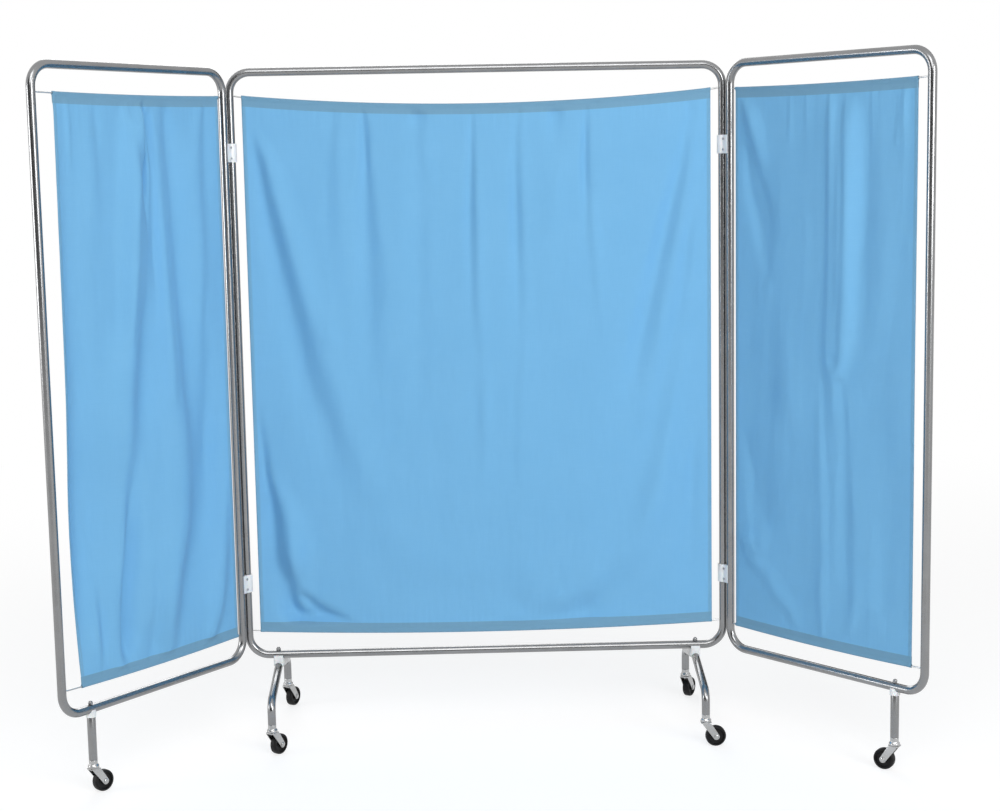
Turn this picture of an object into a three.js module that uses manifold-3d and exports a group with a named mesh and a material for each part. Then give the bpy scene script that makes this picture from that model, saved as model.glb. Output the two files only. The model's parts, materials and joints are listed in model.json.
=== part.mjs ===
// Three-fold ward privacy screen on castors: a centre panel on two arched feet, and a side panel
// that folds about each of its side tubes and stands on one leg.
// Millimetres, Z up. X runs along the centre panel, and its front faces negative Y.
// The origin is on the floor, in the middle of the box round the screen as it stands.

import * as THREE from 'three';
import { mergeVertices } from 'three/addons/utils/BufferGeometryUtils.js';
import Module from 'manifold-3d';

const wasm = await Module();
wasm.setup();

// Frames of bent tube, measured between tube axes
const tubeDiameter = 20;
const tubeWall = 1;
const bendRadius = 50;
const centreSpan = 1200;
const sideSpan = 590;
const frameRise = 1450;
const barHeight = 200;
const hingeSpacing = 25;

// How far each side panel stands folded forward from flat, in degrees
const foldAngles = { left: 54, right: 50.5 };

// Gap between pieces that meet, what a cutter runs past the face it cuts, and how points are welded
const fit = 0.3;
const overrun = 5;
const weldTolerance = 0.0001;

// Curtain wires, and the stop crimped on each end inside the tube
const wireDiameter = 4;
const wireHoleDiameter = 5;
const stopDiameter = 6.4;
const stopLength = 5;
const wires = {
  centre: { topDrop: 56, topSag: 31, bottomRise: 64, bottomSag: 14 },
  side: { topDrop: 60, topSag: 4, bottomRise: 60, bottomSag: 5 },
};

// Curtains: cloth, the pocket round each wire, and the bare stretch from each tube's axis
const clothThickness = 1.6;
const pocketGap = 0.6;
const foldDepth = 13;
const edgeBand = 100;
const curtainMargins = {
  centre: { near: 29, far: 29 },
  left: { near: 17, far: 59 },
  right: { near: 19, far: 37 },
};

// Arched feet of the centre panel
const footInset = 72;
const footReach = 200;
const shoulderHeight = 134;
const shoulderRadius = 30;
const crownRadius = 60;

// Leg of each side panel, in from its outer tube
const legInset = 82;

// Plastic saddles, and the bolts with domed nuts that hold them
const saddleWidth = 24;
const saddleCorner = 3;
const saddleWeb = 9;
const saddleGrip = 9;
const spigotLength = 25;
const boltDiameter = 6;
const boltHoleDiameter = 6.8;
const boltHeadWidth = 10;
const boltHeadHeight = 4;
const boltHeadGap = 0.9;
const boltBehindNut = 5;
const nutHeight = 5.5;
const nutDomeDiameter = 9;
const nutDomeHeight = 3.5;

// Hinge clips: a ring that turns on the centre tube, and a saddle fixed to the side tube
const clipHeight = 45;
const clipWall = 3;
const clipHornWall = 2.2;
const upperClipDrop = 193;
const lowerClipRise = 186;

// Castors
const castorHeight = 80;
const castorTrail = 24;
const wheelDiameter = 50;
const wheelWidth = 20;
const treadWidth = 11;
const wheelShoulder = 3;
const hubDiameter = 17;
const rimInnerDiameter = 36;
const webWidth = 9;
const axleDiameter = 7;
const axleHeadDiameter = 12;
const axleHeadHeight = 2;
const forkTop = 61;
const forkPlate = 3;
const forkLength = 26;
const forkCorner = 5;
const cheekThickness = 2;
const cheekBack = 9;
const bossDiameter = 16;
const bossAngles = { from: 205, to: 375 };
const pinDiameter = 8;
const pinHeadDiameter = 13;
const pinHeadHeight = 3;
const cupDiameter = 26;
const cupHeight = 5;
const cupBevel = 4;
const stemPlug = 26;

// Which way each castor trails at rest, in degrees from X
const trailAngles = {
  left_leg: 47,
  right_leg: 145,
  left_front: 57,
  left_rear: 65,
  right_front: 3,
  right_rear: 60,
};

// Sides of the round pieces and steps along the bent ones
const tubeSides = 12;
const boreSides = 8;
const wireSides = 6;
const wireSteps = 12;
const bendSteps = 4;
const wheelSides = 18;
const turnedSides = 10;
const smallSides = 8;
const hexSides = 6;

// Main folds of each curtain, each a line of points down the cloth. A point holds the shares of the
// curtain's width and height where it lies, the fold's width as a share of the curtain's, and how
// far the cloth stands forward there and steps forward to the left of the line, on the fold depth.
const foldLineShares = {
  centre: [
    [[0.02, 0.948, 0.012, 0, 0], [0.029, 0.896, 0.016, -0.5, 0.8], [0.093, 0.674, 0.025, -0.9, 1.5],
      [0.154, 0.473, 0.031, -0.8, 1.3], [0.233, 0.278, 0.04, -0.6, 1],
      [0.36, 0.113, 0.051, -0.5, 0.8], [0.57, 0.074, 0.046, -0.3, 0.6],
      [0.728, 0.036, 0.035, 0, 0]],
    [[0.957, 0.965, 0.012, 0, 0], [0.941, 0.876, 0.018, -0.5, 0.5], [0.916, 0.772, 0.023, -0.7, 0.6],
      [0.892, 0.675, 0.025, -0.7, 0.6], [0.868, 0.578, 0.026, -0.6, 0.5],
      [0.846, 0.488, 0.03, -0.3, 0.3], [0.833, 0.412, 0.03, 0, 0]],
    [[0.968, 0.806, 0.012, 0, 0], [0.952, 0.694, 0.018, -0.5, 0.3], [0.905, 0.455, 0.025, -0.7, 0],
      [0.866, 0.245, 0.033, -0.8, -0.6], [0.776, 0.096, 0.039, -0.7, -1],
      [0.64, 0.037, 0.026, 0, 0]],
    [[0.258, 1, 0.006, -0.2, 0.3], [0.262, 0.947, 0.009, -0.5, 0.8],
      [0.271, 0.796, 0.018, -0.6, 1], [0.278, 0.568, 0.027, -0.5, 0.8],
      [0.277, 0.386, 0.032, 0, 0]],
    [[0.491, 0.998, 0.006, -0.1, 0.2], [0.493, 0.952, 0.009, -0.3, 0.6],
      [0.491, 0.8, 0.011, -0.5, 0.6], [0.491, 0.647, 0.013, -0.5, 0.6],
      [0.494, 0.533, 0.016, -0.3, 0.6], [0.498, 0.419, 0.017, -0.3, 0.6],
      [0.501, 0.297, 0.016, 0, 0]],
    [[0.589, 0.993, 0.007, -0.1, 0.2], [0.589, 0.913, 0.011, -0.5, 0.5],
      [0.591, 0.799, 0.012, -0.5, 0.6], [0.593, 0.685, 0.013, -0.3, 0.6],
      [0.588, 0.571, 0.014, -0.1, 0.3], [0.575, 0.434, 0.012, -0.2, 0.5],
      [0.572, 0.297, 0.012, 0, 0]],
    [[0.735, 1, 0.006, -0.2, 0.3], [0.736, 0.932, 0.008, -0.5, 0.8],
      [0.74, 0.856, 0.01, -0.5, 0.8], [0.742, 0.78, 0.012, -0.3, 0.6],
      [0.747, 0.681, 0.016, -0.2, 0.5], [0.756, 0.567, 0.019, 0, 0]],
    [[0.006, 0.427, 0.009, 0, 0], [0.013, 0.36, 0.012, -0.8, 0.8], [0.038, 0.211, 0.019, -1.5, 1.9],
      [0.074, 0.091, 0.02, -1.4, 1.9], [0.141, 0.029, 0.014, -0.7, 1],
      [0.204, 0.018, 0.011, 0, 0]],
  ],
  left: [
    [[0.477, 0.992, 0.012, -0.7, 0], [0.479, 0.95, 0.016, -1.6, 0],
      [0.484, 0.845, 0.023, -1.6, 0.2], [0.502, 0.733, 0.043, -0.9, 0.5],
      [0.551, 0.597, 0.047, -1, 1], [0.619, 0.409, 0.047, -1, 1.2],
      [0.687, 0.229, 0.047, -1, 1.2], [0.749, 0.056, 0.039, -0.7, 0.9],
      [0.765, 0.014, 0.031, -0.2, 0.2]],
    [[0.358, 0.988, 0.023, -0.1, 0], [0.352, 0.92, 0.035, -0.7, 0.5],
      [0.327, 0.672, 0.039, -0.9, 0.7], [0.268, 0.484, 0.051, -0.9, 0.5],
      [0.268, 0.319, 0.066, -1.1, 0.5], [0.356, 0.161, 0.054, -1.2, 0.5],
      [0.449, 0.026, 0.035, -0.4, 0.2]],
    [[0.617, 0.986, 0.027, 0, 0], [0.625, 0.898, 0.035, 0.9, 0], [0.619, 0.785, 0.035, 0.7, 0],
      [0.619, 0.672, 0.031, 0.5, 0], [0.621, 0.582, 0.027, 0, 0]],
    [[0.123, 0.975, 0.031, 0, 0], [0.123, 0.859, 0.039, -0.5, 0.3], [0.13, 0.708, 0.039, -0.6, 0.3],
      [0.142, 0.596, 0.039, -0.5, 0.3], [0.126, 0.483, 0.054, -0.4, 0.2],
      [0.115, 0.37, 0.062, -0.2, 0.2], [0.123, 0.242, 0.058, 0, 0]],
    [[-0.006, 0.346, 0.023, 0, 0], [0.018, 0.256, 0.031, -0.6, 0.5],
      [0.056, 0.166, 0.039, -1, 0.7], [0.103, 0.092, 0.039, -1, 0.7],
      [0.146, 0.017, 0.031, -0.2, 0.2]],
    [[1, 0.963, 0.078, 0, 0], [1, 0.746, 0.117, -0.9, 0], [1, 0.482, 0.125, -1.6, 0],
      [1, 0.257, 0.117, -1.4, 0], [1, 0.054, 0.07, 0, 0]],
  ],
  right: [
    [[0.522, 0.992, 0.011, -0.2, 0.6], [0.522, 0.935, 0.015, -0.3, 0.8],
      [0.519, 0.71, 0.017, -0.3, 1], [0.511, 0.522, 0.022, -0.3, 0.8],
      [0.56, 0.394, 0.026, -0.2, 0.5], [0.567, 0.334, 0.026, 0, 0]],
    [[0.68, 0.994, 0.041, 0, -0.6], [0.68, 0.935, 0.049, 0, -1.5],
      [0.678, 0.822, 0.049, 0, -1.6], [0.672, 0.71, 0.045, 0, -1.3],
      [0.661, 0.62, 0.037, 0, -0.8], [0.642, 0.545, 0.03, 0, -0.5],
      [0.624, 0.499, 0.026, 0, 0]],
    [[0.616, 0.5, 0.017, 0, 0], [0.635, 0.424, 0.021, -0.3, 0.8], [0.654, 0.349, 0.022, -0.5, 1.1],
      [0.665, 0.259, 0.024, -0.5, 1.1], [0.665, 0.169, 0.024, -0.5, 1.1],
      [0.657, 0.094, 0.022, -0.3, 0.8], [0.65, 0.022, 0.019, 0, 0]],
    [[0.043, 0.984, 0.019, 0, 0], [0.067, 0.933, 0.026, -0.5, 1], [0.099, 0.881, 0.032, -0.7, 1.5],
      [0.142, 0.836, 0.03, -0.5, 1.1], [0.199, 0.784, 0.03, -0.2, 0.5],
      [0.23, 0.732, 0.03, 0, 0]],
    [[0.223, 0.626, 0.03, 0, 0], [0.236, 0.521, 0.037, -0.6, 1], [0.242, 0.446, 0.037, -0.7, 1.3],
      [0.236, 0.371, 0.037, -0.5, 0.8], [0.212, 0.288, 0.045, -0.3, 0.6],
      [0.189, 0.22, 0.045, 0, 0]],
    [[0.032, 0.166, 0.019, 0, 0], [0.077, 0.129, 0.024, -0.7, 1.1], [0.152, 0.107, 0.028, -0.9, 1.5],
      [0.227, 0.074, 0.028, -0.9, 1.5], [0.305, 0.039, 0.026, -0.7, 1.1],
      [0.376, 0.016, 0.019, 0, 0]],
  ],
};
const rowShares = [0.03, 0.1, 0.2, 0.32, 0.46, 0.6, 0.74, 0.87, 0.97];
const foldFadeShare = 0.1;
const slimmestFoldShare = 0.6;
const clothSteps = { centre: 27, left: 19, right: 18 };
const pocketSegments = 3;
const nutDomeSteps = 3;
const quadCorners = 6;

const materials = {
  steel: new THREE.MeshStandardMaterial({ color: 0xb4b7ba, metalness: 1, roughness: 0.22 }),
  wire: new THREE.MeshStandardMaterial({ color: 0xc9ccd0, metalness: 0.9, roughness: 0.35 }),
  zinc: new THREE.MeshStandardMaterial({ color: 0xaeb0b3, metalness: 1, roughness: 0.35 }),
  cloth: new THREE.MeshStandardMaterial({ color: 0x7ab6e6, metalness: 0, roughness: 0.9 }),
  plastic: new THREE.MeshStandardMaterial({ color: 0xf2f5f6, metalness: 0, roughness: 0.45 }),
  tyre: new THREE.MeshStandardMaterial({ color: 0x131314, metalness: 0, roughness: 0.55 }),
};

// Sizes that follow from the ones above
const tubeRadius = tubeDiameter / 2;
const boreFlat = (tubeRadius - tubeWall) * Math.cos(Math.PI / boreSides);
const topBar = barHeight + frameRise;
const crownHeight = barHeight - tubeRadius - saddleWeb - tubeRadius;
const legTop = barHeight - tubeRadius - saddleWeb;
const hubHalf = wheelWidth / 2;
const cheekInner = hubHalf + fit;
const cheekOuter = cheekInner + cheekThickness;
const axleHeight = wheelDiameter / 2;
const nutSeat = barHeight + tubeRadius + fit;
const outerTube = hingeSpacing + sideSpan;
const legPlace = outerTube - legInset;

const radians = (degrees) => THREE.MathUtils.degToRad(degrees);

// Radius of the corners of a polygon whose flats lie at the given radius
const aroundFlats = (radius, sides) => radius / Math.cos(Math.PI / sides);

// A path through corner points, with straight runs between bends, and stations only where it turns.
class BentPath extends THREE.Curve {
  constructor(corners, radii, steps) {
    super();
    this.pieces = [];
    let start = corners[0];
    radii.forEach((radius, i) => {
      const corner = corners[i + 1];
      const along = corner.clone().sub(corners[i]).normalize();
      const onward = corners[i + 2].clone().sub(corner).normalize();
      const angle = along.angleTo(onward);
      const setback = radius * Math.tan(angle / 2);
      const bendStart = corner.clone().addScaledVector(along, -setback);
      const inward = onward.clone().addScaledVector(along, -onward.dot(along)).normalize();
      const centre = bendStart.clone().addScaledVector(inward, radius);
      this.addStraight(start, bendStart);
      this.addBend(centre, inward.negate(), along, radius, angle, steps[i]);
      start = corner.clone().addScaledVector(onward, setback);
    });
    this.addStraight(start, corners.at(-1));
    this.stations = this.pieces.reduce((sum, piece) => sum + piece.steps, 0);
  }

  addStraight(from, to) {
    this.pieces.push({ steps: 1, at: (share) => from.clone().lerp(to, share) });
  }

  addBend(centre, outward, along, radius, angle, steps) {
    const at = (share) => centre.clone()
      .addScaledVector(outward, radius * Math.cos(angle * share))
      .addScaledVector(along, radius * Math.sin(angle * share));
    this.pieces.push({ steps, at });
  }

  getPoint(t, target = new THREE.Vector3()) {
    let station = THREE.MathUtils.clamp(t, 0, 1) * this.stations;
    let i = 0;
    while (i < this.pieces.length - 1 && station > this.pieces[i].steps) {
      station -= this.pieces[i].steps;
      i += 1;
    }
    return target.copy(this.pieces[i].at(station / this.pieces[i].steps));
  }

  getUtoTmapping(u) {
    return u;
  }
}

// A wire hung between two tube axes a span apart. Its height follows a parabola.
class HangingPath extends THREE.Curve {
  constructor(wire, from, to) {
    super();
    this.wire = wire;
    this.from = from;
    this.to = to;
  }

  getPoint(t, target = new THREE.Vector3()) {
    const x = THREE.MathUtils.lerp(this.from, this.to, t);
    return target.set(x, 0, heightOnWire(this.wire, x));
  }

  getUtoTmapping(u) {
    return u;
  }
}

function heightOnWire(wire, x) {
  const share = x / wire.span;
  return wire.ends - 4 * wire.sag * share * (1 - share);
}

// Turning closed three.js geometry into solids and back
function solidFrom(geometry) {
  const bare = geometry.clone();
  bare.deleteAttribute('normal');
  bare.deleteAttribute('uv');
  const welded = mergeVertices(bare, weldTolerance);
  return new wasm.Manifold(new wasm.Mesh({
    numProp: 3,
    vertProperties: welded.getAttribute('position').array,
    triVerts: welded.getIndex().array,
  }));
}

function geometryFrom(solid) {
  const { vertProperties, triVerts } = solid.getMesh();
  const geometry = new THREE.BufferGeometry();
  geometry.setAttribute('position', new THREE.BufferAttribute(vertProperties, 3));
  geometry.setIndex(new THREE.BufferAttribute(triVerts, 1));
  geometry.computeVertexNormals();
  return geometry;
}

// Basic forms, all centred on the origin or standing on it
function polygonPoints(radius, sides, turn = 0) {
  return Array.from({ length: sides }, (_, i) => {
    const angle = turn + (2 * Math.PI * i) / sides;
    return new THREE.Vector2(radius * Math.cos(angle), radius * Math.sin(angle));
  });
}

function bentTube(path, radius, wall) {
  const section = new THREE.Shape(polygonPoints(radius, tubeSides));
  if (wall) {
    section.holes.push(new THREE.Path(polygonPoints(radius - wall, boreSides, Math.PI / boreSides)));
  }
  const options = { steps: path.stations, extrudePath: path };
  return solidFrom(new THREE.ExtrudeGeometry(section, options));
}

function uprightBar(radius, from, to, sides, turn = 0) {
  const bar = new THREE.CylinderGeometry(radius, radius, to - from, sides);
  bar.rotateY(turn);
  bar.rotateX(Math.PI / 2);
  bar.translate(0, 0, (from + to) / 2);
  return solidFrom(bar);
}

function turned(profile, sides) {
  const points = profile.map(([radius, height]) => new THREE.Vector2(radius, height));
  return new THREE.LatheGeometry(points, sides);
}

function turnedUpright(profile, sides) {
  return solidFrom(turned(profile, sides).rotateX(Math.PI / 2));
}

function roundedRectangle(width, depth, corner) {
  const x = width / 2;
  const y = depth / 2;
  const shape = new THREE.Shape();
  shape.absarc(x - corner, y - corner, corner, 0, Math.PI / 2);
  shape.absarc(corner - x, y - corner, corner, Math.PI / 2, Math.PI);
  shape.absarc(corner - x, corner - y, corner, Math.PI, 1.5 * Math.PI);
  shape.absarc(x - corner, corner - y, corner, 1.5 * Math.PI, 2 * Math.PI);
  return shape;
}

function slab(shape, thickness, curveSegments = 1) {
  return new THREE.ExtrudeGeometry(shape, { depth: thickness, bevelEnabled: false, curveSegments });
}

// A solid bar the size of a tube plus the fit, along X at bar height, for cutting its seats
function barCutter(length) {
  const bar = new THREE.CylinderGeometry(tubeRadius + fit, tubeRadius + fit, length, tubeSides);
  bar.rotateZ(Math.PI / 2);
  bar.translate(0, 0, barHeight);
  return solidFrom(bar);
}

// Closed frame of hollow tube, from its near side tube at X = 0. The two halves meet in the bars.
function frameSolid(span, boltPlaces, wirePair) {
  const middle = Math.fround(span / 2);
  const corners = [
    new THREE.Vector3(middle, 0, barHeight),
    new THREE.Vector3(0, 0, barHeight),
    new THREE.Vector3(0, 0, topBar),
    new THREE.Vector3(middle, 0, topBar),
  ];
  const path = new BentPath(corners, [bendRadius, bendRadius], [bendSteps, bendSteps]);
  const half = bentTube(path, tubeRadius, tubeWall);
  let frame = half.add(half.rotate([0, 0, 180]).translate([2 * middle, 0, 0]));
  const boltHole = uprightBar(
    boltHoleDiameter / 2, barHeight - tubeRadius - overrun, barHeight + tubeRadius + overrun, boreSides,
  );
  for (const place of boltPlaces) {
    frame = frame.subtract(boltHole.translate([place, 0, 0]));
  }
  const reach = tubeRadius + overrun;
  const drill = new THREE.CylinderGeometry(wireHoleDiameter / 2, wireHoleDiameter / 2, reach, boreSides);
  drill.rotateZ(Math.PI / 2);
  const wireHole = solidFrom(drill);
  for (const wire of wirePair) {
    const height = heightOnWire(wire, tubeRadius);
    frame = frame.subtract(wireHole.translate([reach / 2, 0, height]));
    frame = frame.subtract(wireHole.translate([span - reach / 2, 0, height]));
  }
  return frame;
}

function wireSolid(wire) {
  const stopFace = boreFlat - fit;
  const stopMiddle = stopFace - stopLength / 2;
  const section = new THREE.Shape(polygonPoints(wireDiameter / 2, wireSides));
  const path = new HangingPath(wire, stopMiddle, wire.span - stopMiddle);
  const strand = new THREE.ExtrudeGeometry(section, { steps: wireSteps, extrudePath: path });
  const stop = new THREE.CylinderGeometry(stopDiameter / 2, stopDiameter / 2, stopLength, hexSides);
  stop.rotateZ(Math.PI / 2);
  const crimp = solidFrom(stop);
  const height = heightOnWire(wire, stopMiddle);
  return solidFrom(strand)
    .add(crimp.translate([stopMiddle, 0, height]))
    .add(crimp.translate([wire.span - stopMiddle, 0, height]));
}

// A fold's line down a curtain, made from its shares, and no slimmer than the cloth's mesh can show
class FoldLine {
  constructor(shares, width, height, slimmest) {
    this.points = shares.map(([across, up, wide, forward, step]) => ({
      place: new THREE.Vector3(across * width, up * height, 0),
      width: Math.max(wide * width, slimmest),
      forward: forward * foldDepth,
      step: step * foldDepth,
    }));
  }

  depthAt(place) {
    let nearest = { gap: Infinity };
    for (let i = 1; i < this.points.length; i += 1) {
      const from = this.points[i - 1];
      const to = this.points[i];
      const segment = new THREE.Line3(from.place, to.place);
      const share = segment.closestPointToPointParameter(place, true);
      const aside = place.clone().sub(segment.at(share, new THREE.Vector3()));
      const gap = aside.length();
      if (gap < nearest.gap) {
        const along = segment.delta(new THREE.Vector3()).normalize();
        nearest = { gap, share, from, to, side: along.cross(aside).z };
      }
    }
    const { gap, share, from, to, side } = nearest;
    const width = THREE.MathUtils.lerp(from.width, to.width, share);
    const forward = THREE.MathUtils.lerp(from.forward, to.forward, share);
    const step = THREE.MathUtils.lerp(from.step, to.step, share);
    return (forward + step * (side / width)) * Math.exp(-((gap / width) ** 2));
  }
}

// Splits the quads of an extruded sheet's back along the same diagonals as its front, so that the
// two sides stay parallel when the sheet is folded. Each quad is two triangles: a b d, b c d.
function matchBackDiagonals(sheet, back) {
  const points = sheet.getAttribute('position');
  const [, walls] = sheet.groups;
  const corner = (i) => new THREE.Vector3().fromBufferAttribute(points, i);
  for (let i = walls.start; i < walls.start + walls.count; i += quadCorners) {
    const a = corner(i);
    const b = corner(i + 1);
    const c = corner(i + 4);
    const d = corner(i + 5);
    if ([a, b, c, d].every((point) => Math.fround(point.x) === Math.fround(back))) {
      points.setXYZ(i + 2, ...c);
      points.setXYZ(i + 3, ...a);
    }
  }
}

// Cloth with a pocket round each wire. Its section is swept along the width, and then each point
// follows the wires' sag and the folds. Front is -1 or 1, the side of Y that the folds face.
function curtainGeometry(name, topWire, bottomWire, front) {
  const { near, far } = curtainMargins[name];
  const width = topWire.span - near - far;
  const height = topWire.ends - bottomWire.ends;
  const pocketInner = aroundFlats(wireDiameter / 2 + pocketGap, hexSides);
  const pocketOuter = pocketInner + clothThickness;
  const half = clothThickness / 2;
  const mouth = Math.asin(half / pocketOuter);
  const section = new THREE.Shape();
  section.absarc(0, 0, pocketOuter, Math.PI / 2 + mouth, 2.5 * Math.PI - mouth);
  rowShares.forEach((share) => section.lineTo(half, share * height));
  section.absarc(0, height, pocketOuter, mouth - Math.PI / 2, 1.5 * Math.PI - mouth);
  rowShares.toReversed().forEach((share) => section.lineTo(-half, share * height));
  section.closePath();
  for (const level of [0, height]) {
    const points = polygonPoints(pocketInner, hexSides).map((point) => point.setY(point.y + level));
    section.holes.push(new THREE.Path(points));
  }
  const cloth = new THREE.ExtrudeGeometry(section, {
    depth: width, steps: clothSteps[name], bevelEnabled: false, curveSegments: pocketSegments,
  });
  const points = cloth.getAttribute('position');
  matchBackDiagonals(cloth, -half);
  const slimmest = slimmestFoldShare * (width / clothSteps[name]);
  const folds = foldLineShares[name].map((shares) => new FoldLine(shares, width, height, slimmest));
  for (let i = 0; i < points.count; i += 1) {
    const x = near + points.getZ(i);
    const up = THREE.MathUtils.clamp(points.getY(i) / height, 0, 1);
    const offset = points.getY(i) - up * height;
    const place = new THREE.Vector3(points.getZ(i), up * height, 0);
    const fromEdge = Math.min(place.x, width - place.x);
    const calm = THREE.MathUtils.smoothstep(fromEdge, 0, edgeBand)
      * THREE.MathUtils.smoothstep(Math.min(up, 1 - up), 0, foldFadeShare);
    const depth = calm * folds.reduce((sum, fold) => sum + fold.depthAt(place), 0);
    const level = THREE.MathUtils.lerp(heightOnWire(bottomWire, x), heightOnWire(topWire, x), up);
    points.setXYZ(i, x, points.getX(i) + front * depth, level + offset);
  }
  cloth.computeVertexNormals();
  return cloth;
}

// Arched foot across the centre panel, in the plane X = 0
function footPath() {
  const slope = Math.atan((crownHeight - shoulderHeight) / footReach);
  const peak = crownHeight + crownRadius * (1 / Math.cos(slope) - 1);
  const corners = [
    new THREE.Vector3(0, -footReach, castorHeight),
    new THREE.Vector3(0, -footReach, shoulderHeight),
    new THREE.Vector3(0, 0, peak),
    new THREE.Vector3(0, footReach, shoulderHeight),
    new THREE.Vector3(0, footReach, castorHeight),
  ];
  const shoulderSteps = bendSteps - 1;
  const radii = [shoulderRadius, crownRadius, shoulderRadius];
  return new BentPath(corners, radii, [shoulderSteps, bendSteps, shoulderSteps]);
}

function footSolid() {
  const boltHole = uprightBar(boltHoleDiameter / 2, shoulderHeight, barHeight, boreSides);
  return bentTube(footPath(), tubeRadius, tubeWall).subtract(boltHole);
}

function footSaddleSolid() {
  const from = crownHeight + tubeRadius - saddleGrip;
  const to = barHeight - tubeRadius + saddleGrip;
  const block = slab(roundedRectangle(saddleWidth, saddleWidth, saddleCorner), to - from);
  block.translate(0, 0, from);
  return solidFrom(block)
    .subtract(barCutter(saddleWidth + overrun))
    .subtract(bentTube(footPath(), tubeRadius + fit))
    .subtract(uprightBar(boltHoleDiameter / 2, from - overrun, to + overrun, boreSides));
}

// Saddle on top of a leg, with a spigot down in the leg's bore
function legSaddleSolid() {
  const plug = boreFlat - fit;
  const flange = saddleWidth / 2;
  const from = legTop - spigotLength;
  const seat = legTop + fit;
  const to = barHeight - tubeRadius + saddleGrip;
  const profile = [[0, from], [plug, from], [plug, seat], [flange, seat], [flange, to], [0, to]];
  return turnedUpright(profile, turnedSides)
    .subtract(barCutter(saddleWidth + overrun))
    .subtract(uprightBar(boltHoleDiameter / 2, from - overrun, to + overrun, boreSides));
}

function legSolid() {
  const corners = [new THREE.Vector3(0, 0, castorHeight), new THREE.Vector3(0, 0, legTop)];
  return bentTube(new BentPath(corners, [], []), tubeRadius, tubeWall);
}

// Bolt with its hexagon head below the given height, up into the domed nut
function boltSolid(headTop) {
  const headRadius = aroundFlats(boltHeadWidth / 2, hexSides);
  const head = uprightBar(headRadius, headTop - boltHeadHeight, headTop, hexSides);
  const shankFoot = headTop - boltHeadHeight / 2;
  return head.add(uprightBar(boltDiameter / 2, shankFoot, nutSeat + boltBehindNut - fit, boreSides));
}

function nutSolid() {
  const domeRadius = nutDomeDiameter / 2;
  const shoulder = nutSeat + nutHeight;
  const hexagon = uprightBar(aroundFlats(boltHeadWidth / 2, hexSides), nutSeat, shoulder, hexSides);
  const profile = [[0, nutSeat], [domeRadius, nutSeat], [domeRadius, shoulder]];
  for (let step = 1; step < nutDomeSteps; step += 1) {
    const angle = (step / nutDomeSteps) * (Math.PI / 2);
    profile.push([domeRadius * Math.cos(angle), shoulder + nutDomeHeight * Math.sin(angle)]);
  }
  profile.push([0, shoulder + nutDomeHeight]);
  return hexagon
    .add(turnedUpright(profile, smallSides))
    .subtract(uprightBar(boltHoleDiameter / 2, nutSeat - overrun, nutSeat + boltBehindNut, boreSides));
}

// Hinge clip, with the ring's axis at X = 0 and the side tube's axis at the hinge spacing
function clipGeometry(middle) {
  const bore = aroundFlats(tubeRadius + fit, tubeSides);
  const ringRadius = bore + clipWall;
  const hornSide = tubeRadius + fit + clipHornWall;
  const seat = tubeRadius + fit;
  const neck = Math.PI / 4;
  const outline = new THREE.Shape();
  outline.absarc(0, 0, ringRadius, neck, 2 * Math.PI - neck);
  outline.lineTo(hingeSpacing, -hornSide);
  outline.absarc(hingeSpacing, 0, seat, 1.5 * Math.PI, Math.PI / 2, true);
  outline.lineTo(hingeSpacing, hornSide);
  outline.closePath();
  outline.holes.push(new THREE.Path(polygonPoints(bore, tubeSides)));
  const clip = slab(outline, clipHeight, boreSides / 2);
  clip.translate(0, 0, middle - clipHeight / 2);
  return clip;
}

// Castor pieces, with the swivel axis at X = Y = 0 and the wheel trailing along X
function stemSolid() {
  const headFoot = forkTop - forkPlate - fit - pinHeadHeight;
  const headTop = headFoot + pinHeadHeight;
  const cupFoot = forkTop + fit;
  const tubeEnd = castorHeight - fit;
  const plug = boreFlat - fit;
  const profile = [
    [0, headFoot],
    [pinHeadDiameter / 2, headFoot],
    [pinHeadDiameter / 2, headTop],
    [pinDiameter / 2, headTop],
    [pinDiameter / 2, cupFoot],
    [cupDiameter / 2, cupFoot],
    [cupDiameter / 2, cupFoot + cupHeight],
    [tubeRadius, cupFoot + cupHeight + cupBevel],
    [tubeRadius, tubeEnd],
    [plug, tubeEnd],
    [plug, castorHeight + stemPlug],
    [0, castorHeight + stemPlug],
  ];
  return turnedUpright(profile, turnedSides);
}

function forkSolid() {
  const plate = slab(roundedRectangle(forkLength, 2 * cheekOuter, forkCorner), forkPlate);
  plate.translate(0, 0, forkTop - forkPlate);
  const cheek = new THREE.Shape();
  const bossRadius = bossDiameter / 2;
  cheek.moveTo(-cheekBack, forkTop - forkPlate / 2);
  cheek.lineTo(-cheekBack, forkTop - forkPlate - cheekThickness);
  const { from, to } = bossAngles;
  cheek.absarc(castorTrail, axleHeight, bossRadius, radians(from), radians(to));
  cheek.lineTo(forkLength / 2 - cheekThickness, forkTop - forkPlate / 2);
  cheek.closePath();
  const cheekPlate = slab(cheek, cheekThickness, hexSides / 2);
  cheekPlate.rotateX(Math.PI / 2);
  const nearCheek = solidFrom(cheekPlate).translate([0, -cheekInner, 0]);
  const axleHole = new THREE.CylinderGeometry(
    aroundFlats(axleDiameter / 2 + fit, smallSides), aroundFlats(axleDiameter / 2 + fit, smallSides),
    2 * (cheekOuter + overrun), smallSides,
  );
  axleHole.translate(castorTrail, 0, axleHeight);
  const pinRadius = aroundFlats(pinDiameter / 2 + fit, smallSides);
  return solidFrom(plate)
    .add(nearCheek)
    .add(nearCheek.translate([0, cheekInner + cheekOuter, 0]))
    .subtract(solidFrom(axleHole))
    .subtract(uprightBar(pinRadius, forkTop - forkPlate - overrun, forkTop + overrun, smallSides));
}

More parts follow.
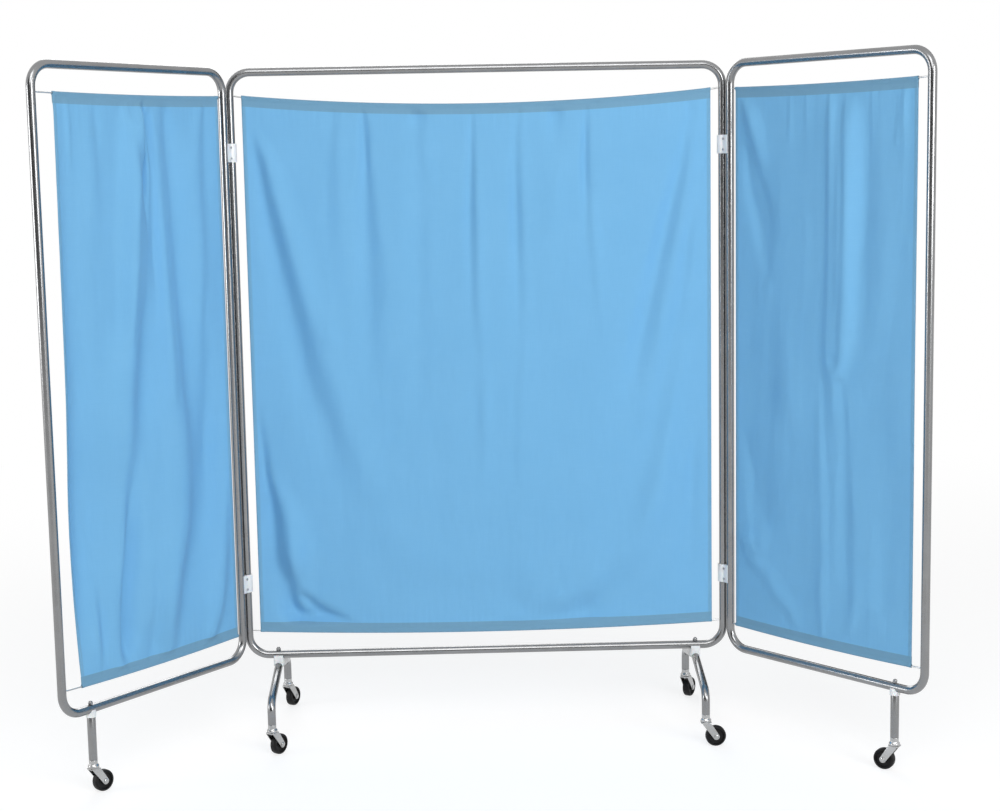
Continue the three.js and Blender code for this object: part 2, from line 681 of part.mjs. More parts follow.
function axleGeometry() {
  const shank = axleDiameter / 2;
  const head = axleHeadDiameter / 2;
  const seat = cheekOuter + fit;
  const end = seat + axleHeadHeight;
  const axle = turned([
    [0, -end], [head, -end], [head, -seat], [shank, -seat],
    [shank, seat], [head, seat], [head, end], [0, end],
  ], smallSides);
  axle.translate(castorTrail, 0, axleHeight);
  return axle;
}

// Wheel with a flat of its tread on the floor
function wheelGeometry() {
  const tread = aroundFlats(wheelDiameter / 2, wheelSides);
  const bore = aroundFlats(axleDiameter / 2 + fit, wheelSides);
  const hub = hubDiameter / 2;
  const rim = rimInnerDiameter / 2;
  const web = webWidth / 2;
  const half = [
    [hub, hubHalf], [hub, web], [rim, web], [rim + wheelShoulder, hubHalf - fit], [tread, treadWidth / 2],
  ];
  const mirrored = half.map(([radius, side]) => [radius, -side]);
  const profile = [[bore, -hubHalf], ...mirrored, ...half.toReversed(), [bore, hubHalf], [bore, -hubHalf]];
  const wheel = turned(profile, wheelSides);
  wheel.rotateY(Math.PI / wheelSides);
  wheel.translate(castorTrail, 0, axleHeight);
  return wheel;
}

// Assembly
function addPiece(group, name, shape, material) {
  const geometry = shape.isBufferGeometry ? shape : geometryFrom(shape);
  const piece = new THREE.Mesh(geometry, material);
  piece.name = name;
  group.add(piece);
  return piece;
}

function addPanel(group, name, span, wireSizes, boltPlaces, front) {
  const topWire = { span, ends: topBar - wireSizes.topDrop, sag: wireSizes.topSag };
  const bottomWire = { span, ends: barHeight + wireSizes.bottomRise, sag: wireSizes.bottomSag };
  addPiece(group, `${name}_frame`, frameSolid(span, boltPlaces, [topWire, bottomWire]), materials.steel);
  addPiece(group, `${name}_top_wire`, wireSolid(topWire), materials.wire);
  addPiece(group, `${name}_bottom_wire`, wireSolid(bottomWire), materials.wire);
  addPiece(group, `${name}_curtain`, curtainGeometry(name, topWire, bottomWire, front), materials.cloth);
}

function addCastor(group, name, x, y, groupAngle) {
  const castor = new THREE.Group();
  castor.position.set(x, y, 0);
  castor.rotation.z = radians(trailAngles[name]) - groupAngle;
  group.add(castor);
  addPiece(castor, `${name}_stem`, stemSolid(), materials.zinc);
  addPiece(castor, `${name}_fork`, forkSolid(), materials.zinc);
  addPiece(castor, `${name}_axle`, axleGeometry(), materials.zinc);
  addPiece(castor, `${name}_wheel`, wheelGeometry(), materials.tyre);
}

function centrePanel() {
  const group = new THREE.Group();
  group.position.x = -centreSpan / 2;
  const footPlaces = { left: footInset, right: centreSpan - footInset };
  addPanel(group, 'centre', centreSpan, wires.centre, Object.values(footPlaces), -1);
  for (const [side, place] of Object.entries(footPlaces)) {
    const foot = new THREE.Group();
    foot.position.x = place;
    group.add(foot);
    addPiece(foot, `${side}_foot`, footSolid(), materials.steel);
    addPiece(foot, `${side}_foot_saddle`, footSaddleSolid(), materials.plastic);
    const headTop = crownHeight - tubeRadius - boltHeadGap;
    addPiece(foot, `${side}_foot_bolt`, boltSolid(headTop), materials.zinc);
    addPiece(foot, `${side}_foot_nut`, nutSolid(), materials.steel);
    addCastor(foot, `${side}_front`, 0, -footReach, 0);
    addCastor(foot, `${side}_rear`, 0, footReach, 0);
  }
  return group;
}

// Side panel, with its hinge axis at X = 0 of the group and X running out along the panel
function sidePanel(side, hingeX, angle, front) {
  const group = new THREE.Group();
  group.position.x = hingeX;
  group.rotation.z = angle;
  const panel = new THREE.Group();
  panel.position.x = hingeSpacing;
  group.add(panel);
  const legShift = legPlace - hingeSpacing;
  addPanel(panel, side, sideSpan, wires.side, [legShift], front);
  const leg = new THREE.Group();
  leg.position.x = legPlace;
  group.add(leg);
  addPiece(leg, `${side}_leg`, legSolid(), materials.steel);
  addPiece(leg, `${side}_leg_saddle`, legSaddleSolid(), materials.plastic);
  addPiece(leg, `${side}_leg_bolt`, boltSolid(legTop - spigotLength - fit), materials.zinc);
  addPiece(leg, `${side}_leg_nut`, nutSolid(), materials.steel);
  addCastor(leg, `${side}_leg`, 0, 0, angle);
  addPiece(group, `${side}_upper_clip`, clipGeometry(topBar - upperClipDrop), materials.plastic);
  addPiece(group, `${side}_lower_clip`, clipGeometry(barHeight + lowerClipRise), materials.plastic);
  return group;
}

const screen = new THREE.Group();
screen.add(centrePanel());
screen.add(sidePanel('left', -centreSpan / 2, Math.PI + radians(foldAngles.left), 1));
screen.add(sidePanel('right', centreSpan / 2, -radians(foldAngles.right), -1));

const box = new THREE.Box3().setFromObject(screen, true);
const middle = box.getCenter(new THREE.Vector3());
screen.position.set(-middle.x, -middle.y, -box.min.z);

export default screen;
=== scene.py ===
"""Looks of the ward privacy screen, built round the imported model. Metres, Z up, front towards -Y."""
import json
from math import atan, cos, exp, hypot, pi, radians, sin, sqrt, tan

import bmesh
import bpy
from mathutils import Matrix, Vector, noise


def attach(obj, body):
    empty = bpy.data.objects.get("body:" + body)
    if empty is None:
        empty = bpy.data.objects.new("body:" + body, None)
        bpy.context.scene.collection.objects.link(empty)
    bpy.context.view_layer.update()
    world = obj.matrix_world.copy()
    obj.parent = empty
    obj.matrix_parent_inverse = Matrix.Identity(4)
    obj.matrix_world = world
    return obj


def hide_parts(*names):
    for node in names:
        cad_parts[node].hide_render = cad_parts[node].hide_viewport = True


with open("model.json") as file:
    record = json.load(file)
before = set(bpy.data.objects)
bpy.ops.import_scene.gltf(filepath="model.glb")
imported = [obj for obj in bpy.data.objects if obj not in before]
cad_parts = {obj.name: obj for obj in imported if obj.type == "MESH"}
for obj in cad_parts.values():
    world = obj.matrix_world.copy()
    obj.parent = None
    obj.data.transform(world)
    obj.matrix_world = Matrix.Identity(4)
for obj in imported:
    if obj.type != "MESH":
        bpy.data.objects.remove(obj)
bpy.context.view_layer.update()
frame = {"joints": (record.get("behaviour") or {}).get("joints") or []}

scene = bpy.context.scene

# Sizes of the real pieces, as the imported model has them
TUBE_RADIUS = 0.010
TUBE_WALL = 0.001
BEND_RADIUS = 0.050
BAR_HEIGHT = 0.200
TOP_BAR = 1.650
HINGE_SPACING = 0.025
SIDE_SPAN = 0.590
FIT = 0.0003
WIRE_RADIUS = 0.002
# Each wire's height at its ends and its sag
SIDE_WIRES = {"top": (1.590, 0.004), "bottom": (0.260, 0.005)}
WIRES = {
    "centre": {"top": (1.594, 0.031), "bottom": (0.264, 0.014)}, "left": SIDE_WIRES, "right": SIDE_WIRES,
}
# From the tubes' axes to the cloth's near and far edges
MARGINS = {"centre": (0.029, 0.029), "left": (0.017, 0.059), "right": (0.019, 0.037)}
FOOT_REACH = 0.200
SHOULDER_HEIGHT = 0.134
SHOULDER_RADIUS = 0.030
CROWN_RADIUS = 0.060
CROWN_HEIGHT = 0.171
LEG_TOP = 0.181
CASTOR_HEIGHT = 0.080

UP = Vector((0, 0, 1))
X = Vector((1, 0, 0))
Y = Vector((0, 1, 0))
ROUND, MEDIUM_ROUND, SMALL_ROUND = 40, 28, 20
BEND_STEPS = 14

joints = {joint["name"]: joint for joint in frame["joints"]}


def place_of(joint):
    return Vector(joints[joint]["pos_m"])


# Panels: where each one's axes lie. X runs along the panel from its near tube's axis.
def upright(origin, along):
    """A matrix with its origin on the floor below a point, X along a level direction and Z up."""
    across = UP.cross(along)
    turn = Matrix((along, across, UP)).transposed().to_4x4()
    return Matrix.Translation(Vector((origin.x, origin.y, 0))) @ turn


def towards(start, end):
    """The level direction from one point to another."""
    return Vector((end.x - start.x, end.y - start.y, 0)).normalized()


def side_axes(side):
    hinge = place_of(f"{side}_fold")
    along = towards(hinge, place_of(f"{side}_leg_swivel_turn"))
    return upright(hinge + along * HINGE_SPACING, along)


left_hinge, right_hinge = place_of("left_fold"), place_of("right_fold")
CENTRE_SPAN = (right_hinge - left_hinge).length
AXES = {"centre": upright(left_hinge, X), "left": side_axes("left"), "right": side_axes("right")}
SPANS = {"centre": CENTRE_SPAN, "left": SIDE_SPAN, "right": SIDE_SPAN}
BODIES = {"centre": "centre", "left": "left_panel", "right": "right_panel"}
# The side of Y that a panel's front faces
FRONTS = {"centre": -1, "left": 1, "right": -1}


# Meshes
SHARP_ANGLE = radians(35)


def given(thing, **settings):
    """Sets a thing's attributes."""
    for key, value in settings.items():
        setattr(thing, key, value)
    return thing


def new_object(name, data):
    made = bpy.data.objects.new(name, data)
    scene.collection.objects.link(made)
    return made


def mesh_object(name, verts, faces, uvs=None):
    """A smooth mesh. Its UVs are a list of corners for each face."""
    mesh = bpy.data.meshes.new(name)
    mesh.from_pydata([tuple(v) for v in verts], [], faces)
    if uvs:
        layer = mesh.uv_layers.new(name="flat")
        layer.data.foreach_set("uv", [value for face in uvs for uv in face for value in uv])
    mesh.update()
    mesh.polygons.foreach_set("use_smooth", [True] * len(mesh.polygons))
    return new_object(name, mesh)


def settle(obj):
    """Replaces an object's mesh or curve with the mesh that its modifiers give."""
    bpy.context.view_layer.update()
    graph = bpy.context.evaluated_depsgraph_get()
    mesh = bpy.data.meshes.new_from_object(obj.evaluated_get(graph))
    name = obj.name
    bpy.data.objects.remove(obj)
    mesh.name = name
    return new_object(name, mesh)


def shade(obj):
    """Smooth shading, with sharp edges where faces meet at more than the angle."""
    mesh = obj.data
    mesh.polygons.foreach_set("use_smooth", [True] * len(mesh.polygons))
    mesh.set_sharp_from_angle(angle=SHARP_ANGLE)
    return obj


def move_mesh(obj, matrix):
    obj.data.transform(matrix)
    obj.data.update()
    return obj


def lift(obj, height):
    return move_mesh(obj, Matrix.Translation(UP * height))


def joined(name, parts):
    """One object from several, their meshes together."""
    build = bmesh.new()
    for part in parts:
        build.from_mesh(part.data)
        bpy.data.objects.remove(part)
    mesh = bpy.data.meshes.new(name)
    build.to_mesh(mesh)
    build.free()
    return new_object(name, mesh)


def faced_out(obj):
    """Turns the faces of closed pieces outwards."""
    build = bmesh.new()
    build.from_mesh(obj.data)
    bmesh.ops.recalc_face_normals(build, faces=build.faces)
    build.to_mesh(obj.data)
    build.free()
    return obj


def bend(corners, radii, closed=False):
    """Points and directions along a path through corner points, round at its bends."""
    count = len(corners)
    stations = []
    if not closed:
        stations.append((corners[0], (corners[1] - corners[0]).normalized()))
    places = range(count) if closed else range(1, count - 1)
    for i, radius in zip(places, radii):
        corner = corners[i]
        along = (corner - corners[i - 1]).normalized()
        onward = (corners[(i + 1) % count] - corner).normalized()
        angle = along.angle(onward)
        start = corner - along * radius * tan(angle / 2)
        inward = (onward - along * onward.dot(along)).normalized()
        middle = start + inward * radius
        for k in range(BEND_STEPS + 1):
            turn = angle * k / BEND_STEPS
            point = middle - inward * radius * cos(turn) + along * radius * sin(turn)
            stations.append((point, along * cos(turn) + inward * sin(turn)))
    if not closed:
        stations.append((corners[-1], (corners[-1] - corners[-2]).normalized()))
    return stations


def sweep(name, stations, radius, across, sides=ROUND, closed=False):
    """A round bar along a path that lies in the plane square to across."""
    verts, uvs, faces, runs = [], [], [], [0]
    for i, (point, direction) in enumerate(stations):
        if i:
            runs.append(runs[-1] + (point - stations[i - 1][0]).length)
        beside = direction.cross(across)
        for k in range(sides):
            angle = 2 * pi * k / sides
            verts.append(point + radius * (cos(angle) * across + sin(angle) * beside))
    rings = len(stations)
    if closed:
        runs.append(runs[-1] + (stations[0][0] - stations[-1][0]).length)
    for i in range(len(runs) - 1):
        a, b = i * sides, ((i + 1) % rings) * sides
        for k in range(sides):
            n = (k + 1) % sides
            faces.append((a + k, a + n, b + n, b + k))
            u, v = k / sides, (k + 1) / sides
            uvs.append(((u, runs[i]), (v, runs[i]), (v, runs[i + 1]), (u, runs[i + 1])))
    if not closed:
        for ring in (tuple(reversed(range(sides))), tuple(range((rings - 1) * sides, rings * sides))):
            faces.append(ring)
            uvs.append([(k / sides, 0) for k in range(sides)])
    return shade(mesh_object(name, verts, faces, uvs))


def lathe(name, profile, sides=ROUND):
    """A piece turned about Z. The profile is (radius, height) points, from axis to axis or closed."""
    verts, faces, rings = [], [], []
    closed = profile[0] == profile[-1]
    points = profile[:-1] if closed else profile
    for radius, height in points:
        if radius == 0:
            rings.append([len(verts)])
            verts.append((0, 0, height))
        else:
            rings.append(list(range(len(verts), len(verts) + sides)))
            for k in range(sides):
                angle = 2 * pi * k / sides
                verts.append((radius * cos(angle), radius * sin(angle), height))
    pairs = list(zip(rings, rings[1:])) + ([(rings[-1], rings[0])] if closed else [])
    for low, high in pairs:
        for k in range(sides):
            n = (k + 1) % sides
            corners = low[k % len(low)], low[n % len(low)], high[n % len(high)], high[k % len(high)]
            # On the axis two corners are one
            faces.append(list(dict.fromkeys(corners)))
    return shade(faced_out(mesh_object(name, verts, faces)))


# A rounded corner takes at most one part in this many of each side
CORNER_SHARE = 2.2


def rounded(points, radius, steps=4):
    """A profile with its corners rounded, the ends left as they are."""
    made = [points[0]]
    for before, corner, after in zip(points, points[1:], points[2:]):
        corner, before, after = Vector(corner), Vector(before), Vector(after)
        along, onward = (corner - before), (after - corner)
        trim = min(radius, along.length / CORNER_SHARE, onward.length / CORNER_SHARE)
        start, end = corner - along.normalized() * trim, corner + onward.normalized() * trim
        for k in range(steps + 1):
            t = k / steps
            spot = start.lerp(corner, t).lerp(corner.lerp(end, t), t)
            made.append((spot.x, spot.y))
    made.append(points[-1])
    return made


def plate(name, loops, thickness, edge):
    """A flat plate from closed outlines, the second and later ones holes, with rounded edges."""
    curve = given(
        bpy.data.curves.new(name, "CURVE"), dimensions="2D", fill_mode="BOTH",
        extrude=thickness / 2 - edge, bevel_depth=edge, offset=-edge, bevel_resolution=2,
    )
    for loop in loops:
        spline = curve.splines.new("POLY")
        spline.points.add(len(loop) - 1)
        for point, (x, y) in zip(spline.points, loop):
            point.co = (x, y, 0, 1)
        spline.use_cyclic_u = True
    return shade(settle(new_object(name, curve)))


def arc(x, y, radius, start, end, steps):
    """Points on a circle between two angles in degrees."""
    turns = [radians(start + (end - start) * k / steps) for k in range(steps + 1)]
    return [(x + radius * cos(t), y + radius * sin(t)) for t in turns]


def rounded_rectangle(length, width, corner, steps):
    x, y = length / 2 - corner, width / 2 - corner
    loop = []
    for a, b, start in ((x, y, 0), (-x, y, 90), (-x, -y, 180), (x, -y, 270)):
        loop += arc(a, b, corner, start, start + 90, steps)
    return loop


def cut(obj, *tools):
    """Takes each tool's solid out of the piece."""
    for tool in tools:
        given(obj.modifiers.new("cut", "BOOLEAN"), operation="DIFFERENCE", solver="EXACT", object=tool)
    made = settle(obj)
    for tool in tools:
        bpy.data.objects.remove(tool)
    return shade(made)


def bevelled(obj, width):
    modifier = obj.modifiers.new("edges", "BEVEL")
    given(modifier, width=width, segments=2, limit_method="ANGLE", angle_limit=SHARP_ANGLE)
    return shade(settle(obj))


# Materials
def feed(tree, node, inputs):
    """Gives a node's inputs their values, or links them to the outputs of other nodes."""
    for key, value in inputs.items():
        if isinstance(value, bpy.types.NodeSocket):
            tree.links.new(value, node.inputs[key])
        else:
            node.inputs[key].default_value = value


def new_material(name, plain):
    """A material, with the values that are the same all over its surface."""
    made = bpy.data.materials.new(name)
    made.use_nodes = True
    tree, shader = made.node_tree, made.node_tree.nodes["Principled BSDF"]
    feed(tree, shader, plain)
    return made, tree, shader


def add(tree, kind, inputs=None, **settings):
    made = given(tree.nodes.new("ShaderNode" + kind), **settings)
    feed(tree, made, inputs or {})
    return made


def maths(tree, operation, *values):
    return add(tree, "Math", dict(enumerate(values)), operation=operation).outputs[0]


def located(tree, source, scale=(1, 1, 1)):
    """The coordinates of source, scaled by a factor for each axis."""
    place = add(tree, "TexCoord").outputs[source]
    return add(tree, "Mapping", {"Vector": place, "Scale": scale}).outputs["Vector"]


NOISE_ROUGHNESS = 0.55


def cloudy(tree, vector, scale, detail=3.0):
    inputs = {"Vector": vector, "Scale": scale, "Detail": detail, "Roughness": NOISE_ROUGHNESS}
    return add(tree, "TexNoise", inputs).outputs["Fac"]


def ranged(tree, value, low, high, start=0.3, end=0.7):
    inputs = {"Value": value, "From Min": start, "From Max": end, "To Min": low, "To Max": high}
    return add(tree, "MapRange", inputs).outputs["Result"]


def blended(tree, factor, first, second):
    return add(tree, "Mix", {0: factor, 6: first, 7: second}, data_type="RGBA").outputs[2]


def bumped(tree, height, strength, distance):
    return add(tree, "Bump", {"Height": height, "Strength": strength, "Distance": distance}).outputs[0]


def around_tube(tree):
    """Coordinates on a round bar without a seam: its UV wrapped round a circle, and its length."""
    split = add(tree, "SeparateXYZ", {0: add(tree, "TexCoord").outputs["UV"]})
    angle = maths(tree, "MULTIPLY", split.outputs["X"], 2 * pi)
    axes = {0: maths(tree, "SINE", angle), 1: maths(tree, "COSINE", angle), 2: split.outputs["Y"]}
    return add(tree, "CombineXYZ", axes).outputs[0]


# The stretch of the lines drawn along a tube, then the scale and detail of each noise
DRAWN_SCALE, DRAWN_LINES = (9, 9, 3), (2.0, 5.0)
METAL_GRAIN, METAL_SMUDGES = (420.0, 4.0), (17.0, 4.0)
METAL_BUMP = (0.04, 0.0001)
# The part of its range where the product of grain and smudges varies most
SMUDGED_FROM, SMUDGED_TO = 0.12, 0.42


def metal(name, colour, tint, rough, drawn):
    """Metal with cloudy smudges and a little variation of colour, with lines along its length if drawn."""
    made, tree, shader = new_material(name, {"Metallic": 1.0})
    if drawn:
        lines = add(tree, "Mapping", {"Vector": around_tube(tree), "Scale": DRAWN_SCALE})
        fine = cloudy(tree, lines.outputs["Vector"], *DRAWN_LINES)
    else:
        fine = cloudy(tree, located(tree, "Object"), *METAL_GRAIN)
    smudge = cloudy(tree, located(tree, "Object"), *METAL_SMUDGES)
    both = maths(tree, "MULTIPLY", fine, smudge)
    feed(tree, shader, {
        "Roughness": ranged(tree, both, *rough, SMUDGED_FROM, SMUDGED_TO),
        "Base Color": blended(tree, ranged(tree, smudge, 0, 1), colour, tint),
        "Normal": bumped(tree, fine, *METAL_BUMP),
    })
    return made


PLASTIC = {
    "grain": (900.0, 2.0), "clouds": (45.0, 4.0), "worn": (0.45, 0.75), "rough": (0.32, 0.5),
    "bump": (0.15, 0.0002), "plain": {"Subsurface Weight": 0.08, "Subsurface Scale": 0.002},
}
RUBBER = {
    "grain": (1300.0, 3.0), "clouds": (70.0, 5.0), "worn": (0.5, 0.8), "rough": (0.4, 0.62),
    "bump": (0.25, 0.0003), "plain": {"Specular IOR Level": 0.2},
}


def moulded(name, kind, colour, worn):
    """Plastic or rubber with a fine grain, and clouds of wear or dust."""
    made, tree, shader = new_material(name, kind["plain"])
    grain, cloud = [cloudy(tree, located(tree, "Object"), *kind[key]) for key in ("grain", "clouds")]
    feed(tree, shader, {
        "Base Color": blended(tree, ranged(tree, cloud, 0, 1, *kind["worn"]), colour, worn),
        "Roughness": ranged(tree, cloud, *kind["rough"]),
        "Normal": bumped(tree, grain, *kind["bump"]),
    })
    return made


THREAD_PITCH = 0.0011
SLUB_LONG, SLUB_FINE = 18, 900
CLOTH_CLOUDS = (9.0, 4.0)
CLOTH_BUMP = (0.35, 0.0003)
THREAD_SHADE, CLOUD_SHADE = (0, 0.5, 0.8, 1.2), (0, 0.35)
CLOTH_PLAIN = {"Roughness": 0.85, "Sheen Weight": 0.07, "Sheen Roughness": 0.5, "Specular IOR Level": 0.2}


def woven(name, colour, shadow, hem_shade):
    """Plain weave cloth. The UV map holds metres on the flat sheet, and an attribute marks the hems, which
    are painted darker: painted shade for the light that their two layers hold back.
    """
    made, tree, shader = new_material(name, CLOTH_PLAIN)
    split = add(tree, "SeparateXYZ", {0: add(tree, "TexCoord").outputs["UV"]})
    turns = 2 * pi / THREAD_PITCH
    waves = [maths(tree, "SINE", maths(tree, "MULTIPLY", split.outputs[axis], turns)) for axis in "XY"]
    weave = maths(tree, "MULTIPLY", *waves)
    scales = ((SLUB_FINE, SLUB_LONG, 1), (SLUB_LONG, SLUB_FINE, 1))
    threads = maths(tree, "ADD", *[cloudy(tree, located(tree, "UV", scale), 1.0) for scale in scales])
    cloud = cloudy(tree, located(tree, "UV"), *CLOTH_CLOUDS)
    mottled = blended(tree, ranged(tree, threads, *THREAD_SHADE), colour, shadow)
    clouded = blended(tree, ranged(tree, cloud, *CLOUD_SHADE), mottled, shadow)
    # The hems are painted darker: painted shade for the light that their two layers hold back
    hem_shade_mask = add(tree, "Attribute", attribute_name="hem_shade").outputs["Fac"]
    height = maths(tree, "ADD", weave, threads)
    feed(tree, shader, {
        "Base Color": blended(tree, hem_shade_mask, clouded, hem_shade), "Normal": bumped(tree, height, *CLOTH_BUMP),
    })
    return made


# Each one's colour and its tint, wear or shade; then a metal's roughness, or the cloth's painted shade on its
# hems
STEEL = metal("polished_steel", (0.285, 0.288, 0.293, 1), (0.245, 0.247, 0.25, 1), (0.19, 0.32), True)
WIRE = metal("drawn_wire", (0.6, 0.61, 0.62, 1), (0.48, 0.48, 0.48, 1), (0.25, 0.4), True)
ZINC = metal("bright_zinc", (0.5, 0.505, 0.51, 1), (0.4, 0.4, 0.395, 1), (0.2, 0.36), False)
WHITE = moulded("white_plastic", PLASTIC, (0.84, 0.86, 0.87, 1), (0.74, 0.75, 0.75, 1))
BLACK = moulded("black_rubber", RUBBER, (0.006, 0.006, 0.0065, 1), (0.02, 0.0195, 0.019, 1))
# The cloth's third colour is the painted shade on its hems
CLOTH = woven("blue_cloth", (0.196, 0.48, 0.76, 1), (0.168, 0.439, 0.72, 1), (0.172, 0.354, 0.512, 1))
THREAD = moulded("thread", PLASTIC, (0.23, 0.47, 0.72, 1), (0.2, 0.42, 0.66, 1))


def dress(obj, axes, material, body, *nodes):
    """Places a piece, and gives it its material and slot and its body, and hides the nodes that it stands
    for.
    """
    move_mesh(obj, axes)
    obj.data.materials.clear()
    obj.data.materials.append(material)
    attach(obj, body)
    if nodes:
        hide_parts(*nodes)


# Frames of bent tube
def make_frame(name):
    span = SPANS[name]
    places = ((0, BAR_HEIGHT), (0, TOP_BAR), (span, TOP_BAR), (span, BAR_HEIGHT))
    stations = bend([Vector((x, 0, z)) for x, z in places], [BEND_RADIUS] * 4, closed=True)
    tube = sweep(f"{name}_tube", stations, TUBE_RADIUS, Y, closed=True)
    dress(tube, AXES[name], STEEL, BODIES[name], f"{name}_frame")


# Wires, and the height of one along its panel
WIRE_STEPS = 60
WIRE_SIDES = 12


def wire_height(name, which, x):
    ends, sag = WIRES[name][which]
    share = x / SPANS[name]
    return ends - 4 * sag * share * (1 - share)


def make_wire(name, which):
    span = SPANS[name]
    places = [span * k / WIRE_STEPS for k in range(WIRE_STEPS + 1)]
    points = [Vector((x, 0, wire_height(name, which, x))) for x in places]
    inner = TUBE_RADIUS - TUBE_WALL
    points[0].x, points[-1].x = inner, span - inner
    stations = []
    for i, point in enumerate(points):
        before, after = points[max(i - 1, 0)], points[min(i + 1, WIRE_STEPS)]
        stations.append((point, (after - before).normalized()))
    strand = sweep(f"{name}_{which}_strand", stations, WIRE_RADIUS, Y, WIRE_SIDES)
    dress(strand, AXES[name], WIRE, BODIES[name], f"{name}_{which}_wire")


# Curtains
CLOTH_HALF = 0.0004
HEM_DEPTH = 0.022
HEM_EDGE = 0.0006
SEAM_SHARES = (1, 0.75, 0.5, 0.27)
SIDE_HEM = 0.007
# The share of the hems' painted shade that the side hems take
SIDE_HEM_SHADE = 0.55
POCKET_RADIUS = 0.0031
POCKET_STEPS = 10
COLUMN_STEP = 0.004
ROW_STEP = 0.009
CALM_FROM, CALM_TO = 0.012, 0.085
# From each wire, how far the cloth hangs free and its folds are pinched
HANG_FROM, HANG_TO = 0.002, 0.11
PINCH_FROM, PINCH_TO = 0.004, 0.035
# Depth of the noise in the cloth, and its cells to a metre along the panel and up
WAVE_DEPTH, WAVES_ALONG, WAVES_UP = 0.0035, 9, 1.6
RIPPLE_DEPTH, RIPPLES_TO_WAVE = 0.0014, 2.3
WRINKLE_DEPTH, WRINKLES_ALONG, WRINKLES_UP = 0.0005, 60, 16
GATHERS_ALONG, GATHER_SHIFT, GATHER_LEAST = 26, 0.7, 0.4
TOP_GATHERS, BOTTOM_GATHERS = 0.5, 7.5
PUCKER_DEPTH, PUCKER_PITCH, PUCKER_REACH = 0.0011, 0.017, 0.030
STITCH_STEP = 0.0036
STITCH_LENGTH = 0.0027
STITCH_INSET = HEM_DEPTH - 0.0022
SIDE_STITCH_INSET = SIDE_HEM - 0.0014
STITCH_MARGIN = 0.001
SLOPE_STEP = 0.001
THREAD_RADIUS = 0.00035

# Folds of each curtain, each a line from top to bottom. A point on it: its place along the panel, its
# height and the fold's width there, in millimetres, then how far it stands forward and how far it
# steps forward on the side of larger places or, along a level line, above it, in half millimetres.
FOLDS = {}
FOLDS["centre"] = [
    [(51, 1520, 14, 0, -1), (64, 1450, 18, -5, 25), (102, 1302, 31, 7, 53), (138, 1151, 37, 14, 63),
     (169, 1000, 44, 0, 57), (200, 878, 49, 0, 49), (245, 758, 49, 5, 29), (295, 620, 54, 3, 20),
     (344, 490, 59, 7, 9), (439, 398, 65, 3, 8), (560, 359, 66, -2, 14), (680, 348, 61, -8, 7),
     (780, 322, 51, 9, 1), (860, 299, 40, -9, 7)],
    [(1122, 1540, 15, -12, -2), (1109, 1419, 19, -6, 21), (1078, 1279, 25, -20, 35),
     (1047, 1150, 27, -22, 30), (1019, 1020, 30, -21, 29), (994, 900, 34, -13, 18), (980, 800, 34, -4, 5)],
    [(1134, 1330, 14, 1, -1), (1118, 1180, 18, -5, 13), (1096, 1040, 21, -8, 9), (1064, 860, 28, -3, 15),
     (1042, 700, 32, 11, 21), (1018, 580, 38, 28, 19), (974, 460, 49, 22, -6), (915, 380, 59, 3, -31),
     (841, 322, 52, -5, -46), (760, 299, 36, 0, -17), (690, 291, 30, 2, 12)],
    [(322, 1572, 7, -4, 1), (324, 1500, 11, -20, 2), (326, 1400, 14, -22, 6), (331, 1300, 26, -20, 24),
     (342, 1150, 38, -11, 30), (341, 1000, 38, -8, 21), (345, 880, 34, -3, 2), (345, 760, 36, 2, -2)],
    [(590, 1560, 7, -2, 0), (590, 1500, 10, -7, 8), (586, 1300, 15, -9, 23), (589, 1100, 17, 4, 15),
     (596, 950, 19, 1, 5), (597, 800, 19, 3, 12), (600, 640, 18, 4, 1)],
    [(702, 1555, 8, -5, 0), (699, 1450, 14, -3, 13), (696, 1300, 15, -19, 16), (699, 1150, 16, -9, 13),
     (700, 1000, 16, -1, 5), (686, 820, 14, -2, 5), (682, 640, 14, -1, 4)],
    [(867, 1570, 7, -3, 0), (864, 1480, 9, -18, 2), (865, 1380, 11, -18, 9), (874, 1280, 15, 3, 12),
     (884, 1150, 18, 4, 7), (892, 1000, 22, 0, 3)],
    [(251, 1550, 14, -8, 5), (253, 1450, 20, 6, 10), (244, 1300, 23, -1, 11), (237, 1150, 24, 0, -3),
     (234, 1000, 25, 12, -4)],
    [(454, 1550, 18, -26, 1), (462, 1480, 23, 1, 12), (465, 1350, 25, -3, 7), (463, 1200, 25, -4, 10),
     (457, 1000, 26, -5, 3), (450, 820, 26, -4, 2)],
    [(792, 1540, 20, -21, 1), (788, 1400, 22, 3, 2), (786, 1200, 24, 0, -3), (780, 1000, 26, 0, 1)],
    [(39, 830, 10, -3, -1), (49, 740, 14, -28, 16), (57, 640, 20, -42, 42), (85, 543, 37, -5, 76),
     (105, 452, 35, 52, 72), (113, 379, 30, -7, 46), (123, 311, 26, -53, 43), (188, 289, 20, -29, -10),
     (262, 278, 13, -3, 1)],
    [(127, 367, 10, 1, -2), (149, 337, 15, -28, 3), (188, 308, 14, -21, 8), (246, 285, 11, -4, 4)],
    [(58, 1566, 9, 1, 1), (79, 1500, 13, -3, -1), (97, 1439, 15, 11, -9), (122, 1370, 16, 5, -2)],
    [(1134, 760, 15, -3, 0), (1126, 630, 19, -16, 1), (1116, 500, 22, -11, 0), (1108, 380, 22, -3, 0)],
]
